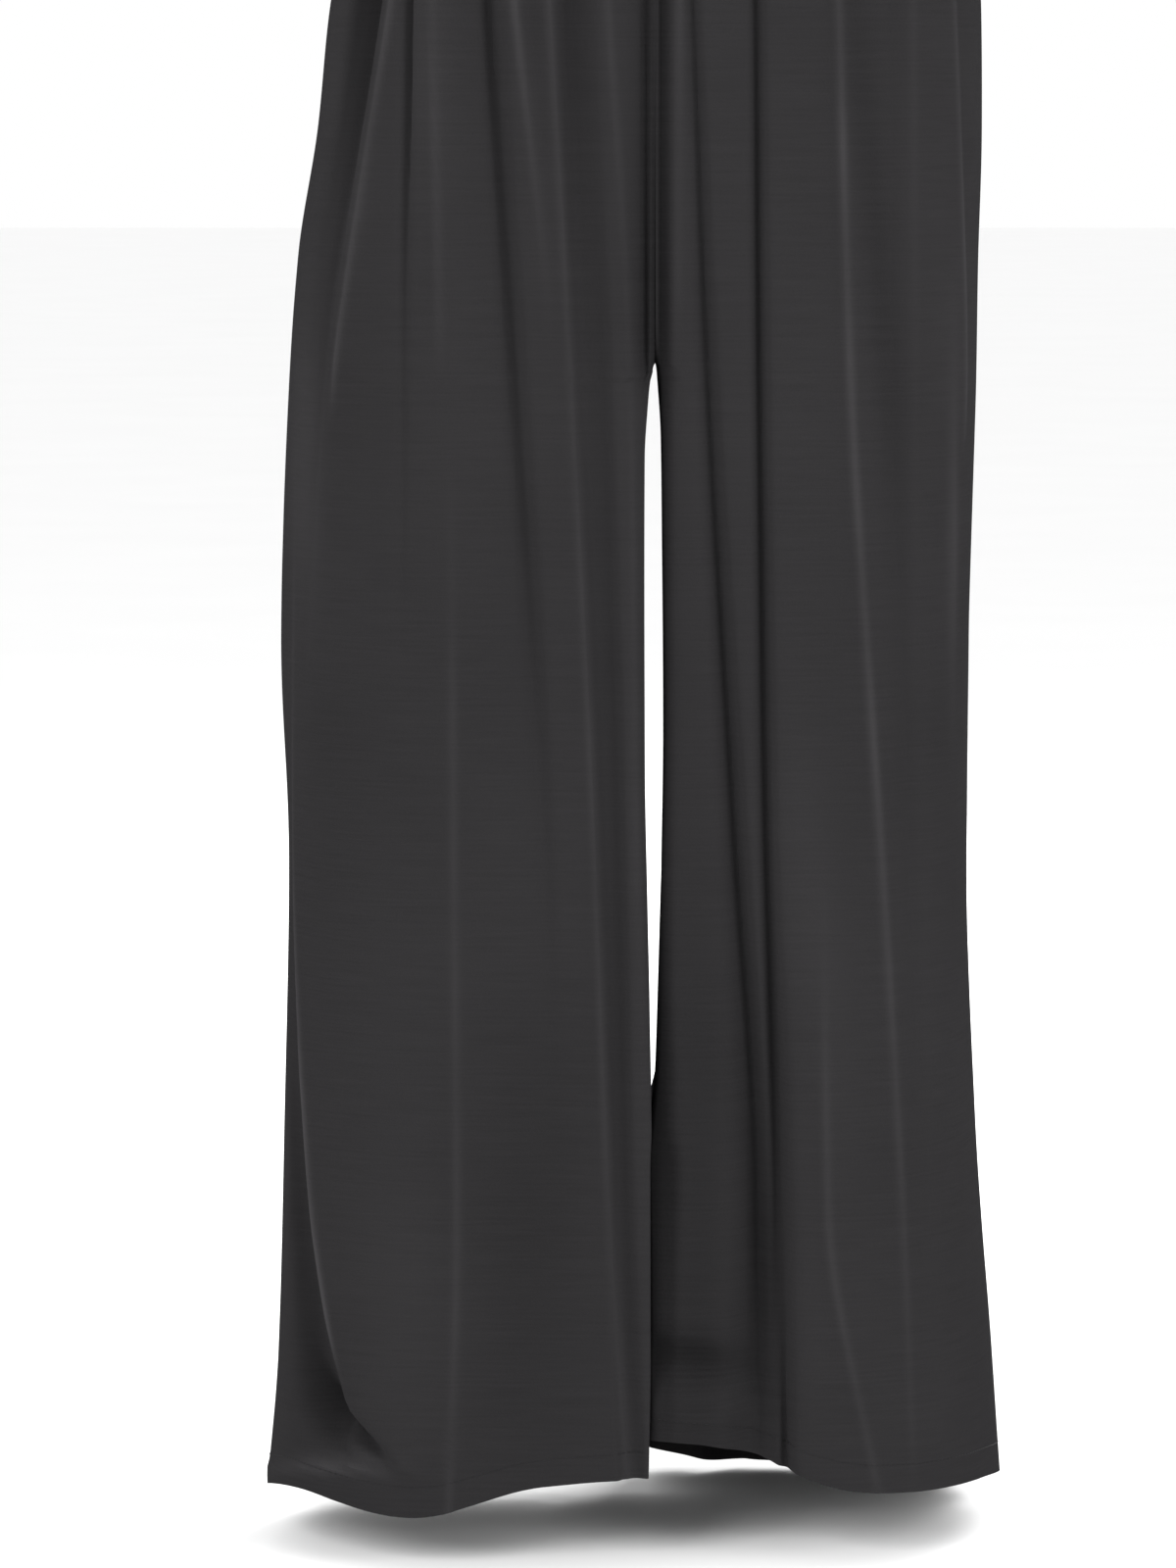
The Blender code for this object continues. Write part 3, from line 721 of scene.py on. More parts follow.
class NodeBench:
    """A short way to lay out a material's nodes."""

    def __init__(self, name: str) -> None:
        """Start a material with only its Principled shader.

        Args:
            name: The material's name.
        """
        self.material = bpy.data.materials.new(name)
        self.material.use_nodes = True
        self.tree = self.material.node_tree
        self.shader = self.tree.nodes["Principled BSDF"]

    def node(self, kind: str, settings: dict | None = None, **inputs: object) -> bpy.types.Node:
        """Add a node.

        Args:
            kind: The node's type.
            settings: Values for its own properties.
            inputs: Sockets by name, with spaces as underscores, or i0, i1 and so on by place;
                each a value or the socket to link from.

        Returns:
            The node.
        """
        made = self.tree.nodes.new(kind)
        for key, value in (settings or {}).items():
            setattr(made, key, value)
        for key, value in inputs.items():
            by_place = key[0] == "i" and key[1:].isdigit()
            self.feed(made.inputs[int(key[1:]) if by_place else key.replace("_", " ")], value)
        return made

    def feed(self, socket: bpy.types.NodeSocket, value: object) -> None:
        """Link a socket from another one, or set its value.

        Args:
            socket: The socket to feed.
            value: The other socket, or the value.
        """
        if isinstance(value, bpy.types.NodeSocket):
            self.tree.links.new(value, socket)
        else:
            socket.default_value = value

    def shade(self, **inputs: object) -> None:
        """Give the shader some of its inputs, by name with spaces as underscores."""
        for key, value in inputs.items():
            self.feed(self.shader.inputs[key.replace("_", " ")], value)

    def colour(self, share: bpy.types.NodeSocket, low: tuple, high: tuple) -> None:
        """Colour the surface between two colours."""
        blend = self.node("ShaderNodeMix", {"data_type": "RGBA"}, i0=share, i6=low, i7=high)
        self.shade(Base_Color=blend.outputs[2])

    def bump(self, height: bpy.types.NodeSocket, strength: float, depth: float) -> None:
        """Let a fine pattern catch the light."""
        made = self.node("ShaderNodeBump", None, Strength=strength, Distance=depth, Height=height)
        self.shade(Normal=made.outputs["Normal"])

    def math(
        self, how: str, first: object, second: object = 0.0, third: object = 0.0
    ) -> bpy.types.NodeSocket:
        """The result of one sum."""
        settings = {"operation": how}
        return self.node("ShaderNodeMath", settings, i0=first, i1=second, i2=third).outputs[0]

    def swing(
        self, grain: bpy.types.NodeSocket, weight: float, rest: object
    ) -> bpy.types.NodeSocket:
        """A value that swings evenly about its rest as a grain goes from 0 to 1."""
        return self.math("MULTIPLY_ADD", grain, weight, self.math("SUBTRACT", rest, weight / 2.0))

    def grain(
        self, vector: bpy.types.NodeSocket, scale: float, detail: float
    ) -> bpy.types.NodeSocket:
        """Soft noise between 0 and 1 over a vector."""
        made = self.node("ShaderNodeTexNoise", None, Vector=vector, Scale=scale, Detail=detail)
        return made.outputs["Fac"]

    def stretched(self, vector: bpy.types.NodeSocket, scale: tuple) -> bpy.types.NodeSocket:
        """A vector scaled by a different amount each way."""
        made = self.node("ShaderNodeMapping", {"vector_type": "POINT"}, Vector=vector, Scale=scale)
        return made.outputs["Vector"]


@dataclass(frozen=True)
class CrepeFinish:
    """Charcoal crepe: a plain weave with a matt, pebbled face and faint slubs across it."""

    name: str = "charcoal_crepe"
    deep: tuple = (0.0100, 0.0097, 0.0101, 1.0)
    light: tuple = (0.0340, 0.0328, 0.0343, 1.0)
    thread: float = 0.00042
    pebble: float = 0.0011
    slub_length: float = 0.045
    slub_height: float = 0.0016
    clouds: float = 7.0
    tone: float = 0.36
    slub_tone: float = 0.22
    cloud_tone: float = 0.17
    pebble_tone: float = 0.20
    # how far the painted light and shade, with wear, on the points shift the colour
    painted_light_and_wear_tone: float = 0.29
    roughness: float = 0.74
    pebble_roughness: float = 0.14
    weave_rise: float = 0.10
    pebble_rise: float = 0.8
    slub_rise: float = 0.6
    bump_strength: float = 0.55
    bump_depth: float = 0.00028
    softness: float = 0.8

    def material(self) -> bpy.types.Material:
        """The finish's material, made once.

        Returns:
            The material.
        """
        if self.name in bpy.data.materials:
            return bpy.data.materials[self.name]
        bench = NodeBench(self.name)
        cloth = bench.node("ShaderNodeUVMap", {"uv_map": "cloth"}).outputs["UV"]
        # the painted light and shade, with wear, that each cloth piece carries
        painted_light_and_wear = bench.node("ShaderNodeAttribute", {"attribute_name": "painted_light_and_wear"}).outputs["Fac"]
        parts = bench.node("ShaderNodeSeparateXYZ", None, Vector=cloth)
        turns = 2.0 * math.pi / self.thread
        warp = bench.math("SINE", bench.math("MULTIPLY", parts.outputs["X"], turns))
        weft = bench.math("SINE", bench.math("MULTIPLY", parts.outputs["Y"], turns))
        weave = bench.math("MULTIPLY", warp, weft)
        pebble = bench.grain(cloth, 1.0 / self.pebble, 3.0)
        streaks = bench.stretched(cloth, (1.0 / self.slub_length, 1.0 / self.slub_height, 1.0))
        slub = bench.grain(streaks, 1.0, 2.0)
        cloud = bench.grain(cloth, self.clouds, 2.0)
        tone = bench.swing(slub, self.slub_tone, 0.0)
        tone = bench.swing(cloud, self.cloud_tone, tone)
        tone = bench.swing(pebble, self.pebble_tone, tone)
        tone = bench.math("ADD", tone, self.tone)
        # lighter where light is painted, darker where shade is painted
        tone = bench.math("MULTIPLY_ADD", painted_light_and_wear, self.painted_light_and_wear_tone, tone)
        bench.colour(tone, self.deep, self.light)
        rough = bench.math("MULTIPLY_ADD", pebble, self.pebble_roughness, self.roughness)
        bench.shade(Roughness=rough, Diffuse_Roughness=self.softness, Specular_IOR_Level=0.0)
        height = bench.math("MULTIPLY", pebble, self.pebble_rise)
        height = bench.math("MULTIPLY_ADD", weave, self.weave_rise, height)
        height = bench.math("MULTIPLY_ADD", slub, self.slub_rise, height)
        bench.bump(height, self.bump_strength, self.bump_depth)
        return bench.material


@dataclass(frozen=True)
class ThreadFinish:
    """Sewing thread in the cloth's own colour, a little glossier than the cloth."""

    name: str = "charcoal_thread"
    deep: tuple = (0.010, 0.0097, 0.0102, 1.0)
    light: tuple = (0.018, 0.0175, 0.0184, 1.0)
    twist: float = 2600.0
    roughness: float = 0.5
    twist_roughness: float = 0.2
    bump_strength: float = 0.4
    bump_depth: float = 0.0001
    gloss: float = 0.05

    def material(self) -> bpy.types.Material:
        """The finish's material, made once.

        Returns:
            The material.
        """
        if self.name in bpy.data.materials:
            return bpy.data.materials[self.name]
        bench = NodeBench(self.name)
        place = bench.node("ShaderNodeTexCoord").outputs["Object"]
        twist = bench.grain(place, self.twist, 1.0)
        bench.colour(twist, self.deep, self.light)
        rough = bench.math("MULTIPLY_ADD", twist, self.twist_roughness, self.roughness)
        bench.shade(Roughness=rough, Specular_IOR_Level=self.gloss)
        bench.bump(twist, self.bump_strength, self.bump_depth)
        return bench.material


@dataclass(frozen=True)
class Stitching:
    """Small lockstitches laid along lines on a piece of cloth."""

    length: float = 0.0026
    gap: float = 0.0009
    width: float = 0.00055
    stand: float = 0.15
    finish: ThreadFinish = ThreadFinish()

    def template(self) -> tuple[np.ndarray, list[tuple[int, ...]]]:
        """One stitch, lying along X with its face towards Z.

        Returns:
            Its points and its faces, in an order that is the same at each run.
        """
        bpy.ops.object.select_all(action="DESELECT")
        bpy.ops.mesh.primitive_uv_sphere_add(segments=6, ring_count=4, radius=0.5)
        stitch = bpy.context.object
        bpy.ops.object.mode_set(mode="EDIT")
        bpy.ops.mesh.select_all(action="SELECT")
        bpy.ops.transform.rotate(value=math.pi / 2.0, orient_axis="Y", center_override=(0, 0, 0))
        bpy.ops.transform.resize(
            value=(self.length, self.width, self.width), center_override=(0, 0, 0)
        )
        bpy.ops.object.mode_set(mode="OBJECT")
        points = np.array([tuple(vertex.co) for vertex in stitch.data.vertices])
        order = np.lexsort(np.round(points, 7).T)
        rank = np.argsort(order)
        faces = []
        for face in stitch.data.polygons:
            corners = [int(rank[corner]) for corner in face.vertices]
            first = corners.index(min(corners))
            faces.append(tuple(corners[first:] + corners[:first]))
        spare = stitch.data
        bpy.data.objects.remove(stitch, do_unlink=True)
        bpy.data.meshes.remove(spare)
        return points[order], sorted(faces)

    def sew(self, name: str, grid: ClothGrid, lines: list[np.ndarray]) -> bpy.types.Object:
        """Sew along lines of a cloth grid.

        Args:
            name: The new object's name.
            grid: The cloth.
            lines: Each an array of rows and columns, in order along the line.

        Returns:
            One object that holds every stitch.
        """
        points, faces = self.template()
        all_points: list[np.ndarray] = []
        all_faces: list[tuple[int, ...]] = []
        for line in lines:
            track = np.array([grid.point(row, column) for row, column in line])
            along = lengths_along(track)
            count = int(along[-1] / (self.length + self.gap))
            for place in (np.arange(count) + 0.5) * along[-1] / count:
                row, column = read_at(line, along, np.array([place]))[0]
                ends = read_at(track, along, place + np.array([-0.5, 0.5]) * self.length)
                way = (ends[1] - ends[0]) / np.linalg.norm(ends[1] - ends[0])
                face = grid.facing(row, column)
                side = np.cross(face, way)
                side /= np.linalg.norm(side)
                axes = np.array((way, side, np.cross(way, side)))
                centre = ends.mean(axis=0) + face * self.width * self.stand
                first = len(all_points) * len(points)
                all_points.append(points @ axes + centre)
                all_faces += [tuple(first + corner for corner in corners) for corners in faces]
        mesh = bpy.data.meshes.new(name)
        mesh.from_pydata(np.vstack(all_points).tolist(), [], all_faces)
        piece = piece_of(name, mesh, self.finish.material())
        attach(piece, "root")
        return piece


def hang(piece: bpy.types.Object, node: str) -> None:
    """Put a finished cloth piece in the place of its solid and log how many faces it has.

    Args:
        piece: The cloth.
        node: The solid that it stands for.
    """
    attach(piece, "root")
    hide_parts(node)
    log.info("%s: %d faces", piece.name, len(piece.data.polygons))


WAVE_SEEDS = {Face.FRONT: 3.0, Face.BACK: 8.0}


@dataclass
class LegPanel:
    """One of the four trouser panels, from the waistband to the hem.

    Lengths are in metres. samples, rows and columns say how finely it is drawn, and the crowds how
    closely its columns draw together. A calm is how far an edge quiets the cloth beside it, a fade
    or a step how long a fold, the valley or the hem's second layer takes to come in, and a reach
    how far the turn to the front, the lean or the uneven hem is felt. Patches vary the painted
    highlight, partly crease wear, along a fold, and gathers and waves give the cloth its own
    unevenness.
    """

    side: Side
    face: Face
    sections: tuple[Section, ...]
    folds: tuple[Fold, ...]
    hem: Hem
    cut: Cut
    dents: tuple[Dent, ...] = ()
    samples: int = 1401
    coarse_step: int = 10
    rows: int = 200
    face_columns: int = 176
    wall_columns: int = 20
    wall_crowd: float = 2.0
    fold_crowd: float = 2.2
    rim: float = 0.003
    rise_power: float = 14.0
    fullest: float = 0.999
    cloth: float = 0.0008
    hem_depth: float = 0.018
    hem_cloth: float = 0.0009
    hem_step: float = 0.002
    hem_reach: float = 0.300
    hem_fade: float = 1.5
    seam_calm: float = 0.012
    centre_calm: float = 0.0025
    edge_calm: float = 0.015
    front_reach: float = 0.045
    fold_fade: float = 0.050
    gully_crisp: float = 8.0
    gully_from: float = 0.5
    gully_fade: float = 0.3
    lean_reach: float = 0.030
    lean_from: tuple[float, float] = (0.4, 0.9)
    waist_calm: float = 0.060
    waist_taper: float = 0.78
    shine_width: float = 2.8 * MM
    # painted shade in a fold's hollow, per metre that it sinks in
    painted_hollow_shade: float = 18.0
    patchiness: float = 0.45
    patch_apart: float = 7.0
    patch_rate: float = 16.0
    gather_pitch: float = 0.0135
    gather_rise: float = 1.5 * MM
    gather_depth: float = 0.085
    gather_start: float = 0.012
    gather_stray: float = 2.0
    gather_stray_rate: float = 31.0
    waves: tuple[Wave, ...] = (Wave(21.0, 2.6, 0.9 * MM), Wave(70.0, 11.0, 0.35 * MM))

    def __post_init__(self) -> None:
        """Read the tables once."""
        self.plan = columns_of(self.sections)
        self.seam = columns_of(CENTRE_SEAM)
        self.inseam = columns_of(INSEAM)[f"{self.side.value}_x"]
        self.gully = columns_of(RIGHT_GULLY if self.side is Side.RIGHT else LEFT_GULLY)
        self.name = f"{self.face.value}_leg_{self.side.value}"
        self.turn = 1.0 if (self.side is Side.RIGHT) == (self.face is Face.FRONT) else -1.0
        self.runs = [Profile(STATIONS, fold.run) for fold in self.folds]
        self.rises = [Profile(STATIONS, fold.rise) for fold in self.folds]
        self.shines = [Profile(STATIONS, fold.shine) for fold in self.folds]

    def centre_seam_y(self, height: float) -> float:
        """How deep the centre seam lies: level with the panel at the waist, far in below.

        Args:
            height: The height above the ground.

        Returns:
            Its place from front to back.
        """
        column = self.seam["front_y" if self.face is Face.FRONT else "back_y"]
        inner_y = self.plan["inner_y"].at(CROTCH)
        share = np.clip((height - CROTCH) / (RISE_TOP - CROTCH), 0.0, 1.0)
        arc = (1.0 - (1.0 - share) ** self.rise_power) ** (1.0 / self.rise_power)
        return inner_y + (column.at(max(height, RISE_TOP)) - inner_y) * arc

    def inner_quarter(self, at: dict[str, float], crown_y: float, height: float) -> np.ndarray:
        """From the crown round to the inseam or, above the crotch, to the centre seam.

        Args:
            at: The leg's section at this height.
            crown_y: How far out the crown lies.
            height: The height above the ground.

        Returns:
            The quarter's points, from the crown inwards.
        """
        power = at["inner_power"]
        inner_x = self.inseam.at(height)
        reach = inner_x - at["crown_x"]
        if height >= CROTCH:
            inner_x = math.copysign(SEAM, at["crown_x"])
            share = (self.centre_seam_y(height) - at["inner_y"]) / (crown_y - at["inner_y"])
            share = np.clip(share, 0.0, self.fullest)
            reach = (inner_x - at["crown_x"]) / (1.0 - share**power) ** (1.0 / power)
        end = np.arccos(min((inner_x - at["crown_x"]) / reach, 1.0) ** (power / 2.0))
        angle = np.linspace(np.pi / 2.0, end, QUARTER_STEPS)
        x = at["crown_x"] + reach * np.abs(np.cos(angle)) ** (2.0 / power)
        y = at["inner_y"] + (crown_y - at["inner_y"]) * np.sin(angle) ** (2.0 / power)
        return np.column_stack((x, y))

    def outline(self, height: float) -> tuple[np.ndarray, np.ndarray, float]:
        """The panel's smooth outline in plan.

        Args:
            height: The height above the ground.

        Returns:
            Its points from side seam to centre, the length up to each, and the inner rim's place.
        """
        at = {name: column.at(height) for name, column in self.plan.items()}
        crown_y = at["front_y"] if self.face is Face.FRONT else at["back_y"]
        crown = (at["crown_x"], crown_y)
        outer = quarter((at["side_x"], at["side_y"]), crown, at["outer_power"])
        drawn = np.vstack((outer, self.inner_quarter(at, crown_y, height)[1:]))
        drawn_along = lengths_along(drawn)
        along = np.linspace(0.0, drawn_along[-1], self.samples)
        points = read_at(drawn, drawn_along, along)
        middle_gap = np.abs(points[:, 0] - points[-1, 0])
        return points, along, float(np.interp(-self.rim, -middle_gap, along))

    def fold_shifts(
        self, height: float, points: np.ndarray, along: np.ndarray
    ) -> tuple[np.ndarray, np.ndarray, np.ndarray]:
        """What the folds do at each point of an outline.

        Args:
            height: The height above the ground.
            points: The smooth outline in plan.
            along: The length up to each point.

        Returns:
            How far each point moves out and forward, and the light or shade painted on it.
        """
        rise = np.zeros(len(along))
        push = np.zeros(len(along))
        shine = np.zeros(len(along))
        order = np.argsort(points[:, 0])
        taper = np.interp(height, (STATIONS[0], WAIST), (1.0, self.waist_taper))
        tables = zip(self.folds, self.runs, self.rises, self.shines)
        for index, (fold, run, depth, light_and_wear) in enumerate(tables):
            place = run.at(height) * MM * taper
            if not fold.from_seam:
                place = float(np.interp(place, points[order, 0], along[order]))
            offset = along - place
            spread = np.interp(height, (HEM, STATIONS[0]), (fold.spread, 1.0))
            width = np.where(offset < 0.0, fold.outer, fold.inner) * MM * spread
            share = eased((height - fold.down_to) / self.fold_fade)
            moved = share * depth.at(height) * MM * np.exp(-np.abs(offset / width) ** fold.crisp)
            if fold.straight:
                push += moved
            else:
                rise += moved
            # a painted highlight along each crest, partly for crease wear, uneven in patches
            patch = Vector((self.patch_apart * index, 0.5, height * self.patch_rate))
            patchy = share * (1.0 + self.patchiness * noise.noise(patch))
            shine += patchy * light_and_wear.at(height) * np.exp(-((offset / self.shine_width) ** 2))
        # painted shade in the hollows, darker where the cloth sinks further
        shine += np.minimum(rise + push, 0.0) * self.painted_hollow_shade
        return rise, push, shine

    def gully_shape(self, height: float, points: np.ndarray) -> np.ndarray:
        """How far each point lies in the valley beside the centre seam, from 0 to 1.

        Args:
            height: The height above the ground.
            points: The smooth outline in plan.

        Returns:
            The share for each point.
        """
        reach = self.gully["reach"].at(height) * MM
        shape = np.exp(-((np.abs(points[:, 0]) / reach) ** self.gully_crisp))
        forward = points[:, 1] / points[:, 1].min()
        return shape * eased((forward - self.gully_from) / self.gully_fade)

    def lean_shift(self, height: float, points: np.ndarray) -> np.ndarray:
        """How far the front's inner edge leans over the gap between the legs.

        Args:
            height: The height above the ground.
            points: The smooth outline in plan.

        Returns:
            The sideways shift of each point.
        """
        near = eased(1.0 - np.abs(points[:, 0] - points[-1, 0]) / self.lean_reach)
        start, full = self.lean_from
        near = near * eased((points[:, 1] / points[:, 1].min() - start) / (full - start))
        return -np.sign(points[0, 0]) * self.gully["lean"].at(height) * MM * near

    def dent_shifts(self, height: float, points: np.ndarray) -> tuple[np.ndarray, np.ndarray]:
        """How far the short hollows and swells move each point, and the light or shade painted
        there.

        Args:
            height: The height above the ground.
            points: The smooth outline in plan.

        Returns:
            The rise of each point and the light or shade painted on it.
        """
        rise = np.zeros(len(points))
        shine = np.zeros(len(points))
        for dent in self.dents:
            turn = math.radians(dent.turn)
            x = points[:, 0] - dent.x * MM
            z = height - dent.height * MM
            across = (x * math.cos(turn) + z * math.sin(turn)) / (dent.across * MM)
            up = (z * math.cos(turn) - x * math.sin(turn)) / (dent.up * MM)
            near = np.exp(-(across**2) - up**2)
            rise += dent.rise * MM * near
            # painted light (+) or painted shade (-) of the dent
            shine += dent.light_and_wear * near
        return rise, shine

    def drift(self, height: float, points: np.ndarray) -> np.ndarray:
        """How far the cloth's long soft waves and its finer crumple move each point.

        Args:
            height: The height above the ground.
            points: The smooth outline in plan.

        Returns:
            The rise of each point.
        """
        seed = WAVE_SEEDS[self.face]
        rise = np.zeros(len(points))
        for wave in self.waves:
            for place, (x, y) in enumerate(points * wave.across):
                rise[place] += noise.noise(Vector((x, y + seed, height * wave.down))) * wave.rise
        return rise

    def gathers(self, height: float, along: np.ndarray) -> np.ndarray:
        """How far the small gathers under the waistband move each point.

        Args:
            height: The height above the ground.
            along: The length up to each point.

        Returns:
            The rise of each point.
        """
        below = WAIST - height
        stray = self.gather_stray * np.sin(along * self.gather_stray_rate)
        wave = np.cos(2.0 * np.pi * along / self.gather_pitch + stray)
        share = eased(below / self.gather_start) * eased(1.0 - below / self.gather_depth)
        return wave * share * self.gather_rise

    def column_places(self, along: np.ndarray, rim: float, crowding: np.ndarray) -> np.ndarray:
        """Where a level's columns lie, closest on steep slopes and at the inner edge.

        Args:
            along: The length up to each sample of the outline.
            rim: Where the inner edge starts.
            crowding: How close the columns lie at each sample.

        Returns:
            The columns' places along the outline.
        """
        crowding = crowding * (along <= rim)
        steps = (crowding[1:] + crowding[:-1]) / 2.0 * np.diff(along)
        crowd = np.concatenate(([0.0], np.cumsum(steps)))
        used = crowding > 0.0
        face = np.interp(np.linspace(0.0, crowd[-1], self.face_columns), crowd[used], along[used])
        wall = np.linspace(0.0, 1.0, self.wall_columns) ** self.wall_crowd
        places = np.concatenate((face[:-1], rim + (along[-1] - rim) * wall))
        places[0] = SEAM / 2.0
        places[-1] = along[-1] - SEAM / 2.0
        return places

    def level(self, height: float) -> Level:
        """One level of the panel, at a height above the ground.

        Args:
            height: The height above the ground.

        Returns:
            The level, with the hem's unevenness in its heights.
        """
        points, along, rim = self.outline(height)
        ends = (0,) if height > CROTCH else (0, -1)
        front = -1.0 if self.face is Face.FRONT else 1.0
        normals = outward(points, along, self.turn, ends)
        forward = eased(2.0 - 2.0 * np.abs(points[:, 0]) / self.front_reach)[:, None]
        ways = normals * (1.0 - forward) + np.array((0.0, front)) * forward
        rise, push, shine = self.fold_shifts(height, points, along)
        crowding = 1.0 + self.fold_crowd * np.abs(np.gradient(rise + push, along))
        coarse = np.arange(0, len(along), self.coarse_step)
        uneven = np.interp(along, along[coarse], self.drift(height, points[coarse]))
        uneven *= eased((rim - along) / self.edge_calm)
        below = eased((WAIST - height) / self.waist_calm)
        dents, patches = self.dent_shifts(height, points)
        rise = (rise + dents + uneven) * below + self.gathers(height, along)
        # the dents' painted light and shade
        shine += patches
        calm = eased(along / self.seam_calm) * eased((along[-1] - along) / self.centre_calm)
        outer = points + ways * (rise * calm)[:, None]
        outer[:, 1] += front * push * calm * below
        if self.face is Face.FRONT:
            valley = self.gully_shape(height, points)
            outer[:, 1] += valley * self.gully["depth"].at(height) * MM
            outer[:, 0] += self.lean_shift(height, points)
            # painted shade in the valley beside the centre seam, for the shadow there
            shine -= valley * self.gully["shade"].at(height)
        turned_up = eased((HEM + self.hem_depth - height) / self.hem_step)
        thick = self.cloth + self.hem_cloth * turned_up
        inner = outer - outward(outer, lengths_along(outer), self.turn, ends) * thick
        places = self.column_places(along, rim, crowding)
        return Level(
            read_at(outer, along, places),
            read_at(inner, along, places),
            places,
            np.interp(places, along, shine * calm),
            height - SHOULDER + self.hem_lift(height, places / along[-1]),
        )

    def hem_lift(self, height: float, shares: np.ndarray) -> np.ndarray:
        """How far a level is lifted by the uneven hem.

        Args:
            height: The height above the ground.
            shares: How far round the panel each column lies, from 0 to 1.

        Returns:
            The lift of each column.
        """
        stops = Profile(tuple(np.linspace(0.0, 1.0, len(self.hem))), tuple(self.hem))
        uneven = np.array([stops.at(share) for share in shares]) - HEM
        nearness = np.clip((self.hem_reach - height) / (self.hem_reach - HEM), 0.0, 1.0)
        return uneven * nearness**self.hem_fade

    def build(self) -> bpy.types.Object:
        """Make the panel, its hem stitches and its place in the frame.

        Returns:
            The cloth.
        """
        grid = stacked([self.level(float(height)) for height in np.linspace(WAIST, HEM, self.rows)])
        piece = grid.shell(f"{self.name}_crepe", CrepeFinish())
        rise = (WAIST - HEM) / (self.rows - 1)
        row = self.rows - 1 - self.hem_depth / rise
        last = self.face_columns + self.wall_columns - 2
        line = np.array([(row, column) for column in np.linspace(1.0, last - 1.0, last)])
        stitches = Stitching().sew(f"{self.name}_hem_stitches", grid, [line])
        hang(piece, self.name)
        return piece


@dataclass
class BodyPiece:
    """A waistband half or a bib: cloth that lies round the body, from edge to edge."""

    node: str
    face: Face
    bottom: float
    top: float
    foot: float
    head: float
    cut: Cut
    taper: float = 1.7
    samples: int = 601
    rows: int = 60
    columns: int = 90
    cloth: float = 0.0016
    puff: float = 0.0006
    inner_puff: float = 0.4
    stitch_in: float = 0.006
    ripple: Wave = Wave(16.0, 20.0, 0.0009)
    ripple_seed: float = 5.0
    edge_wear: float = 0.4
    inside_wear: float = -0.2
    sides_sewn: bool = True

    def __post_init__(self) -> None:
        """Read the table once."""
        self.plan = columns_of(TORSO)

    def half_width(self, height: float) -> float:
        """The piece's half width at a height."""
        share = (self.top - height) / (self.top - self.bottom)
        return self.head + (self.foot - self.head) * share**self.taper

    def outline(self, height: float) -> tuple[np.ndarray, np.ndarray]:
        """The body's outline at a height, from the wearer's right to the left.

        Args:
            height: The height above the ground.

        Returns:
            Its points in plan and the length up to each.
        """
        at = {name: column.at(height) for name, column in self.plan.items()}
        crown_y = at["front_y"] if self.face is Face.FRONT else at["back_y"]
        curve = quarter((at["side_x"], 0.0), (at["crown_x"], crown_y), at["power"])
        half = np.vstack((curve, (0.0, crown_y)))
        whole = np.vstack((half * (-1.0, 1.0), half[::-1][1:]))
        drawn = lengths_along(whole)
        along = np.linspace(0.0, drawn[-1], self.samples)
        return read_at(whole, drawn, along), along

    def level(self, height: float) -> Level:
        """One level of the piece, puffed a little between its stitched edges.

        Args:
            height: The height above the ground.

        Returns:
            The level, from edge to edge.
        """
        turn = 1.0 if self.face is Face.FRONT else -1.0
        points, along = self.outline(height)
        half = self.half_width(height)
        edges = np.interp((-half, half), points[:, 0], along)
        edges = np.clip(edges, SEAM / 2.0, along[-1] - SEAM / 2.0)
        places = np.linspace(edges[0], edges[1], self.columns)
        normals = outward(points, along, turn, (0, -1))
        to_edge = np.minimum(along - edges[0], edges[1] - along)
        to_end = min(self.top - height, height - self.bottom)
        inside = eased(np.minimum(to_edge, to_end) / self.stitch_in)
        deep, up = self.ripple_seed * turn, height * self.ripple.down
        across = points[:, 0] * self.ripple.across
        waves = np.array([noise.noise(Vector((x, deep, up))) for x in across])
        rise = inside * (self.puff + self.ripple.rise * waves)
        outer = points + normals * rise[:, None]
        inner = points - normals * (self.cloth - self.inner_puff * rise)[:, None]
        wear = self.edge_wear + (self.inside_wear - self.edge_wear) * inside
        return Level(
            read_at(outer, along, places),
            read_at(inner, along, places),
            places,
            np.interp(places, along, wear),
            np.full(self.columns, height - SHOULDER),
        )

    def build(self) -> bpy.types.Object:
        """Make the piece, its edge stitches and its place in the frame.

        Returns:
            The cloth.
        """
        heights = np.linspace(self.top, self.bottom, self.rows)
        grid = stacked([self.level(float(height)) for height in heights])
        piece = grid.shell(f"{self.node}_crepe", CrepeFinish())
        rise = (self.top - self.bottom) / (self.rows - 1)
        margin = self.stitch_in / rise
        last_row = self.rows - 1
        last_column = self.columns - 1
        columns = np.linspace(1.0, last_column - 1.0, last_column)
        lines = [np.array([(margin, column) for column in columns])]
        lines.append(np.array([(last_row - margin, column) for column in columns]))
        if self.sides_sewn:
            rows = np.linspace(margin, last_row - margin, last_row)
            inset = [
                self.stitch_in / (2.0 * self.half_width(self.top - row * rise)) * last_column
                for row in rows
            ]
            lines.append(np.column_stack((rows, inset)))
            lines.append(np.column_stack((rows, last_column - np.array(inset))))
        stitches = Stitching().sew(f"{self.node}_stitches", grid, lines)
        hang(piece, self.node)
        return piece


class StrapPoint(NamedTuple):
    """A stop of a strap's way over the shoulder and how far it leans outwards there."""

    x: float
    y: float
    height: float
    lean: float


SHOULDER_ROUTE = (
    StrapPoint(0.088, -0.088, 1.360, 0.04),
    StrapPoint(0.086, -0.052, 1.410, 0.10),
    StrapPoint(0.084, 0.000, 1.4312, 0.14),
    StrapPoint(0.081, 0.052, 1.411, 0.10),
    StrapPoint(0.078, 0.090, 1.355, 0.04),
)


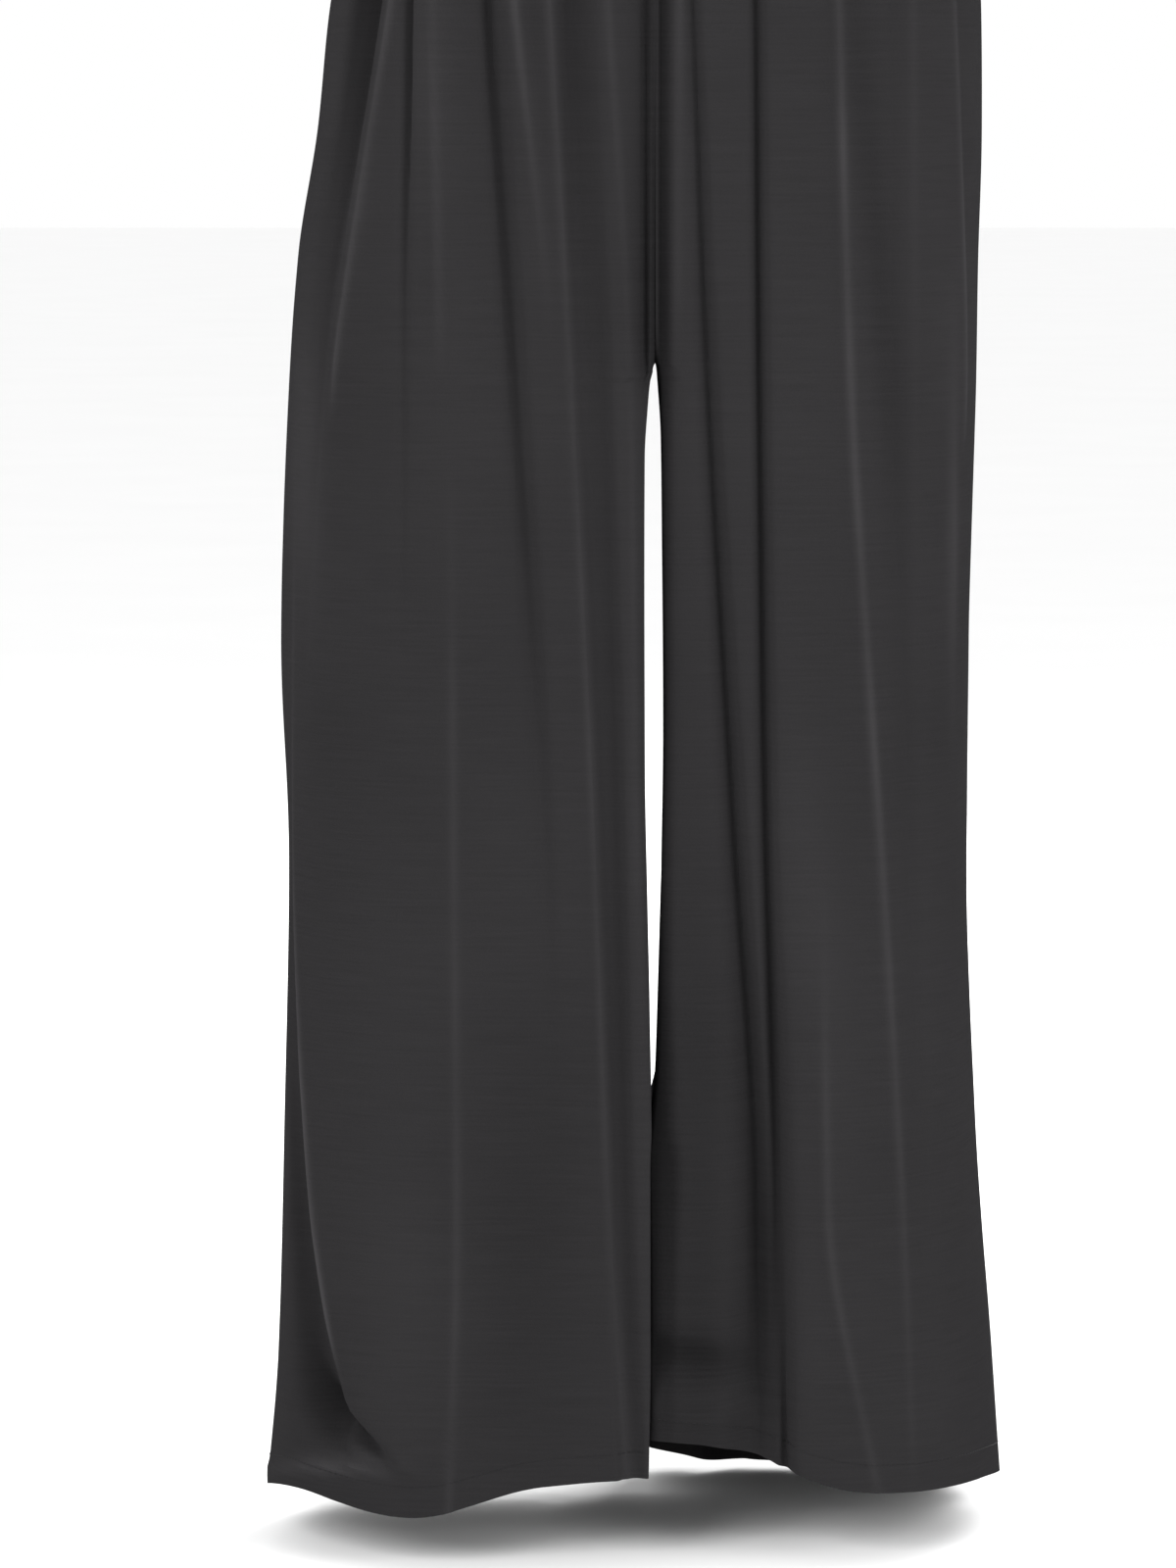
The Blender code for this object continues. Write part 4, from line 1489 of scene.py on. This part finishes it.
@dataclass
class Strap:
    """A doubled shoulder strap, from a corner of the front bib to a corner of the back one."""

    side: Side
    front: BodyPiece
    back: BodyPiece
    cut: Cut
    route: tuple[StrapPoint, ...] = SHOULDER_ROUTE
    width: float = 0.032
    inset: float = 0.001
    cloth: float = 0.0022
    edge_cloth: float = 0.0010
    crown: float = 0.0004
    crown_power: float = 4.0
    edge_power: float = 6.0
    wear_power: float = 8.0
    edge_wear: float = 0.5
    wear: float = -0.1
    rows: int = 150
    columns: int = 17
    stitch_in: float = 0.004

    def end(self, bib: BodyPiece) -> tuple[np.ndarray, np.ndarray]:
        """The middle of an end and the direction of its width.

        Args:
            bib: The bib that it is sewn to.

        Returns:
            The middle point and the direction, of length 1.
        """
        points, _ = bib.outline(bib.top)
        reach = np.array((bib.head - self.inset - self.width, bib.head - self.inset))
        depth = np.interp(reach, points[:, 0], points[:, 1])
        width = np.array((reach[1] - reach[0], depth[1] - depth[0], 0.0))
        middle = np.array((reach.mean(), depth.mean(), bib.top + SEAM - SHOULDER))
        return middle, width / np.linalg.norm(width)

    def frames(self) -> tuple[np.ndarray, np.ndarray]:
        """The left strap's middle line and the direction of its width along it.

        Returns:
            A point and a direction for each row.
        """
        front, front_width = self.end(self.front)
        back, back_width = self.end(self.back)
        stops = [front]
        widths = [front_width]
        for stop in self.route:
            stops.append(np.array((stop.x, stop.y, stop.height - SHOULDER)))
            widths.append(np.array((1.0, 0.0, -stop.lean)))
        stops.append(back)
        widths.append(back_width)
        run = lengths_along(np.array(stops))
        columns = np.column_stack((stops, widths))
        slopes = np.gradient(columns, run, axis=0)
        places = np.linspace(0.0, run[-1], self.rows)
        read = np.array([cubic(columns, slopes, run, place) for place in places])
        return read[:, :3], read[:, 3:]

    def grid(self) -> ClothGrid:
        """The strap as a ribbon with a softly crowned face.

        Returns:
            Its grids, from front to back.
        """
        middles, widths = self.frames()
        widths = widths / np.linalg.norm(widths, axis=1)[:, None]
        ways = np.gradient(middles, axis=0)
        faces = np.cross(widths, ways)
        faces /= np.linalg.norm(faces, axis=1)[:, None]
        faces[0, 2] = 0.0
        faces[-1, 2] = 0.0
        share = np.linspace(-1.0, 1.0, self.columns)
        across = share * self.width / 2.0
        crown = self.crown * (1.0 - np.abs(share) ** self.crown_power)
        flat = middles[:, None, :] + widths[:, None, :] * across[None, :, None]
        outer = flat + faces[:, None, :] * crown[None, :, None]
        fullness = 1.0 - np.abs(share) ** self.edge_power
        depth = self.edge_cloth + (self.cloth - self.edge_cloth) * fullness
        inner = flat - faces[:, None, :] * depth[None, :, None]
        run = lengths_along(middles)
        cloth = np.stack(np.meshgrid(across, run), axis=-1)
        if self.side is Side.RIGHT:
            outer = outer * (-1.0, 1.0, 1.0)
            inner = inner * (-1.0, 1.0, 1.0)
        light_and_wear = self.edge_wear * np.abs(share) ** self.wear_power + self.wear
        return ClothGrid(outer, inner, cloth, np.tile(light_and_wear, (self.rows, 1)))

    def build(self) -> bpy.types.Object:
        """Make the strap, its edge stitches and its place in the frame.

        Returns:
            The cloth.
        """
        grid = self.grid()
        node = f"strap_{self.side.value}"
        piece = grid.shell(f"{node}_crepe", CrepeFinish())
        last = self.columns - 1
        inset = self.stitch_in / self.width * last
        rows = np.linspace(1.0, self.rows - 2.0, self.rows)
        edges = (inset, last - inset)
        lines = [np.column_stack((rows, np.full(len(rows), edge))) for edge in edges]
        stitches = Stitching().sew(f"{node}_stitches", grid, lines)
        hang(piece, node)
        return piece


@dataclass(frozen=True)
class FloorFinish:
    """A plain pale studio floor with the faintest mottling."""

    name: str = "pale_floor"
    low: tuple = (0.93, 0.93, 0.93, 1.0)
    high: tuple = (0.96, 0.96, 0.96, 1.0)
    mottling: float = 3.0
    roughness: float = 0.9

    def material(self) -> bpy.types.Material:
        """The finish's material.

        Returns:
            The material.
        """
        bench = NodeBench(self.name)
        place = bench.node("ShaderNodeTexCoord").outputs["Object"]
        bench.colour(bench.grain(place, self.mottling, 2.0), self.low, self.high)
        bench.shade(Roughness=self.roughness)
        return bench.material


class Lamp(NamedTuple):
    """A soft lamp: where it hangs, the side of its square face and its power in watts."""

    name: str
    place: tuple[float, float, float]
    size: float
    power: float


@dataclass(frozen=True)
class Studio:
    """The pale floor, the soft lights and the camera."""

    eye_x: float = -0.039
    eye_height: float = 0.90
    distance: float = 4.2
    tilt_degrees: float = 6.0
    lens: float = 162.0
    sensor: float = 36.0
    floor_gap: float = 0.004
    floor_size: float = 60.0
    sky: float = 1.0
    aim: tuple[float, float, float] = (0.0, 0.0, -0.9)
    lamps: tuple[Lamp, ...] = (
        Lamp("key", (-1.7, -3.8, 0.9), 1.6, 170.0),
        Lamp("fill", (2.8, -2.8, 0.2), 2.0, 120.0),
        Lamp("back", (1.9, 3.5, 0.4), 2.0, 200.0),
    )

    def camera(self) -> None:
        """Stand the camera in front of the legs, looking slightly down."""
        data = bpy.data.cameras.new("camera")
        data.lens = self.lens
        data.sensor_width = self.sensor
        camera = bpy.data.objects.new("camera", data)
        camera.location = (self.eye_x, -self.distance, self.eye_height - SHOULDER)
        camera.rotation_euler = (math.radians(90.0 - self.tilt_degrees), 0.0, 0.0)
        bpy.context.scene.collection.objects.link(camera)
        bpy.context.scene.camera = camera

    def floor(self) -> None:
        """Lay the floor just under the lowest hem."""
        bpy.ops.object.select_all(action="DESELECT")
        bpy.ops.mesh.primitive_plane_add(
            size=self.floor_size, location=(0.0, 0.0, CAD_BOX[0][2] - self.floor_gap)
        )
        floor = bpy.context.object
        floor.name = "floor"
        floor.data.materials.append(FloorFinish().material())

    def hang_lamp(self, lamp: Lamp) -> None:
        """Hang one lamp, turned to the garment.

        Args:
            lamp: The lamp.
        """
        data = bpy.data.lights.new(lamp.name, "AREA")
        data.size = lamp.size
        data.energy = lamp.power
        made = bpy.data.objects.new(lamp.name, data)
        made.location = lamp.place
        way = Vector(self.aim) - Vector(lamp.place)
        made.rotation_euler = way.to_track_quat("-Z", "Y").to_euler()
        bpy.context.scene.collection.objects.link(made)

    def light(self) -> None:
        """Light the garment from the front left, with a weak fill and a light behind it."""
        world = bpy.data.worlds.new("studio")
        world.use_nodes = True
        background = world.node_tree.nodes["Background"]
        background.inputs["Color"].default_value = (1.0, 1.0, 1.0, 1.0)
        background.inputs["Strength"].default_value = self.sky
        bpy.context.scene.world = world
        for lamp in self.lamps:
            self.hang_lamp(lamp)
        bpy.context.scene.view_settings.view_transform = "Standard"

    def build(self) -> None:
        """Set the whole stage."""
        self.camera()
        self.floor()
        self.light()
        log.info("studio: camera %.2f m away", self.distance)


FRONT_CUT = Cut(0.46, 1.06, 0.40)
BACK_CUT = Cut(0.45, 1.08, 0.39)
LEG_PANELS = (
    LegPanel(
        Side.RIGHT,
        Face.FRONT,
        RIGHT_SECTIONS,
        RIGHT_FRONT_FOLDS,
        Hem(0.040, 0.052, 0.0415, 0.060, 0.065, 0.060),
        FRONT_CUT,
        RIGHT_FRONT_DENTS,
        gully_crisp=3.0,
        lean_reach=0.009,
        lean_from=(0.90, 0.98),
    ),
    LegPanel(
        Side.RIGHT,
        Face.BACK,
        RIGHT_SECTIONS,
        RIGHT_BACK_FOLDS,
        Hem(0.040, 0.032, 0.028, 0.028, 0.040, 0.060),
        BACK_CUT,
    ),
    LegPanel(
        Side.LEFT,
        Face.FRONT,
        LEFT_SECTIONS,
        LEFT_FRONT_FOLDS,
        Hem(0.036, 0.050, 0.054, 0.083, 0.088, 0.066),
        FRONT_CUT,
        LEFT_FRONT_DENTS,
    ),
    LegPanel(
        Side.LEFT,
        Face.BACK,
        LEFT_SECTIONS,
        LEFT_BACK_FOLDS,
        Hem(0.036, 0.018, 0.012, 0.014, 0.032, 0.066),
        BACK_CUT,
    ),
)
BAND_CUT = Cut(0.405, 0.038, 0.0154)
BANDS = tuple(
    BodyPiece(
        f"waistband_{face.value}",
        face,
        WAIST + SEAM,
        BAND_TOP,
        0.150,
        0.150,
        BAND_CUT,
        rows=24,
        columns=120,
        sides_sewn=False,
    )
    for face in Face
)
FRONT_BIB = BodyPiece(
    "bib_front", Face.FRONT, BAND_TOP + SEAM, BIB_TOP, 0.140, 0.106, Cut(0.30, 0.212, 0.054)
)
BACK_BIB = BodyPiece(
    "bib_back", Face.BACK, BAND_TOP + SEAM, BACK_TOP, 0.120, 0.092, Cut(0.25, 0.182, 0.039)
)
STRAP_CUT = Cut(0.032, 0.410, 0.0131)


def main() -> None:
    """Set the stage, then cut, sew and hang every piece."""
    logging.basicConfig(level=logging.INFO, format="%(message)s")
    Studio().build()
    for panel in LEG_PANELS:
        panel.build()
    for piece in (*BANDS, FRONT_BIB, BACK_BIB):
        piece.build()
    for side in Side:
        Strap(side, FRONT_BIB, BACK_BIB, STRAP_CUT).build()


if __name__ == "__main__":
    main()
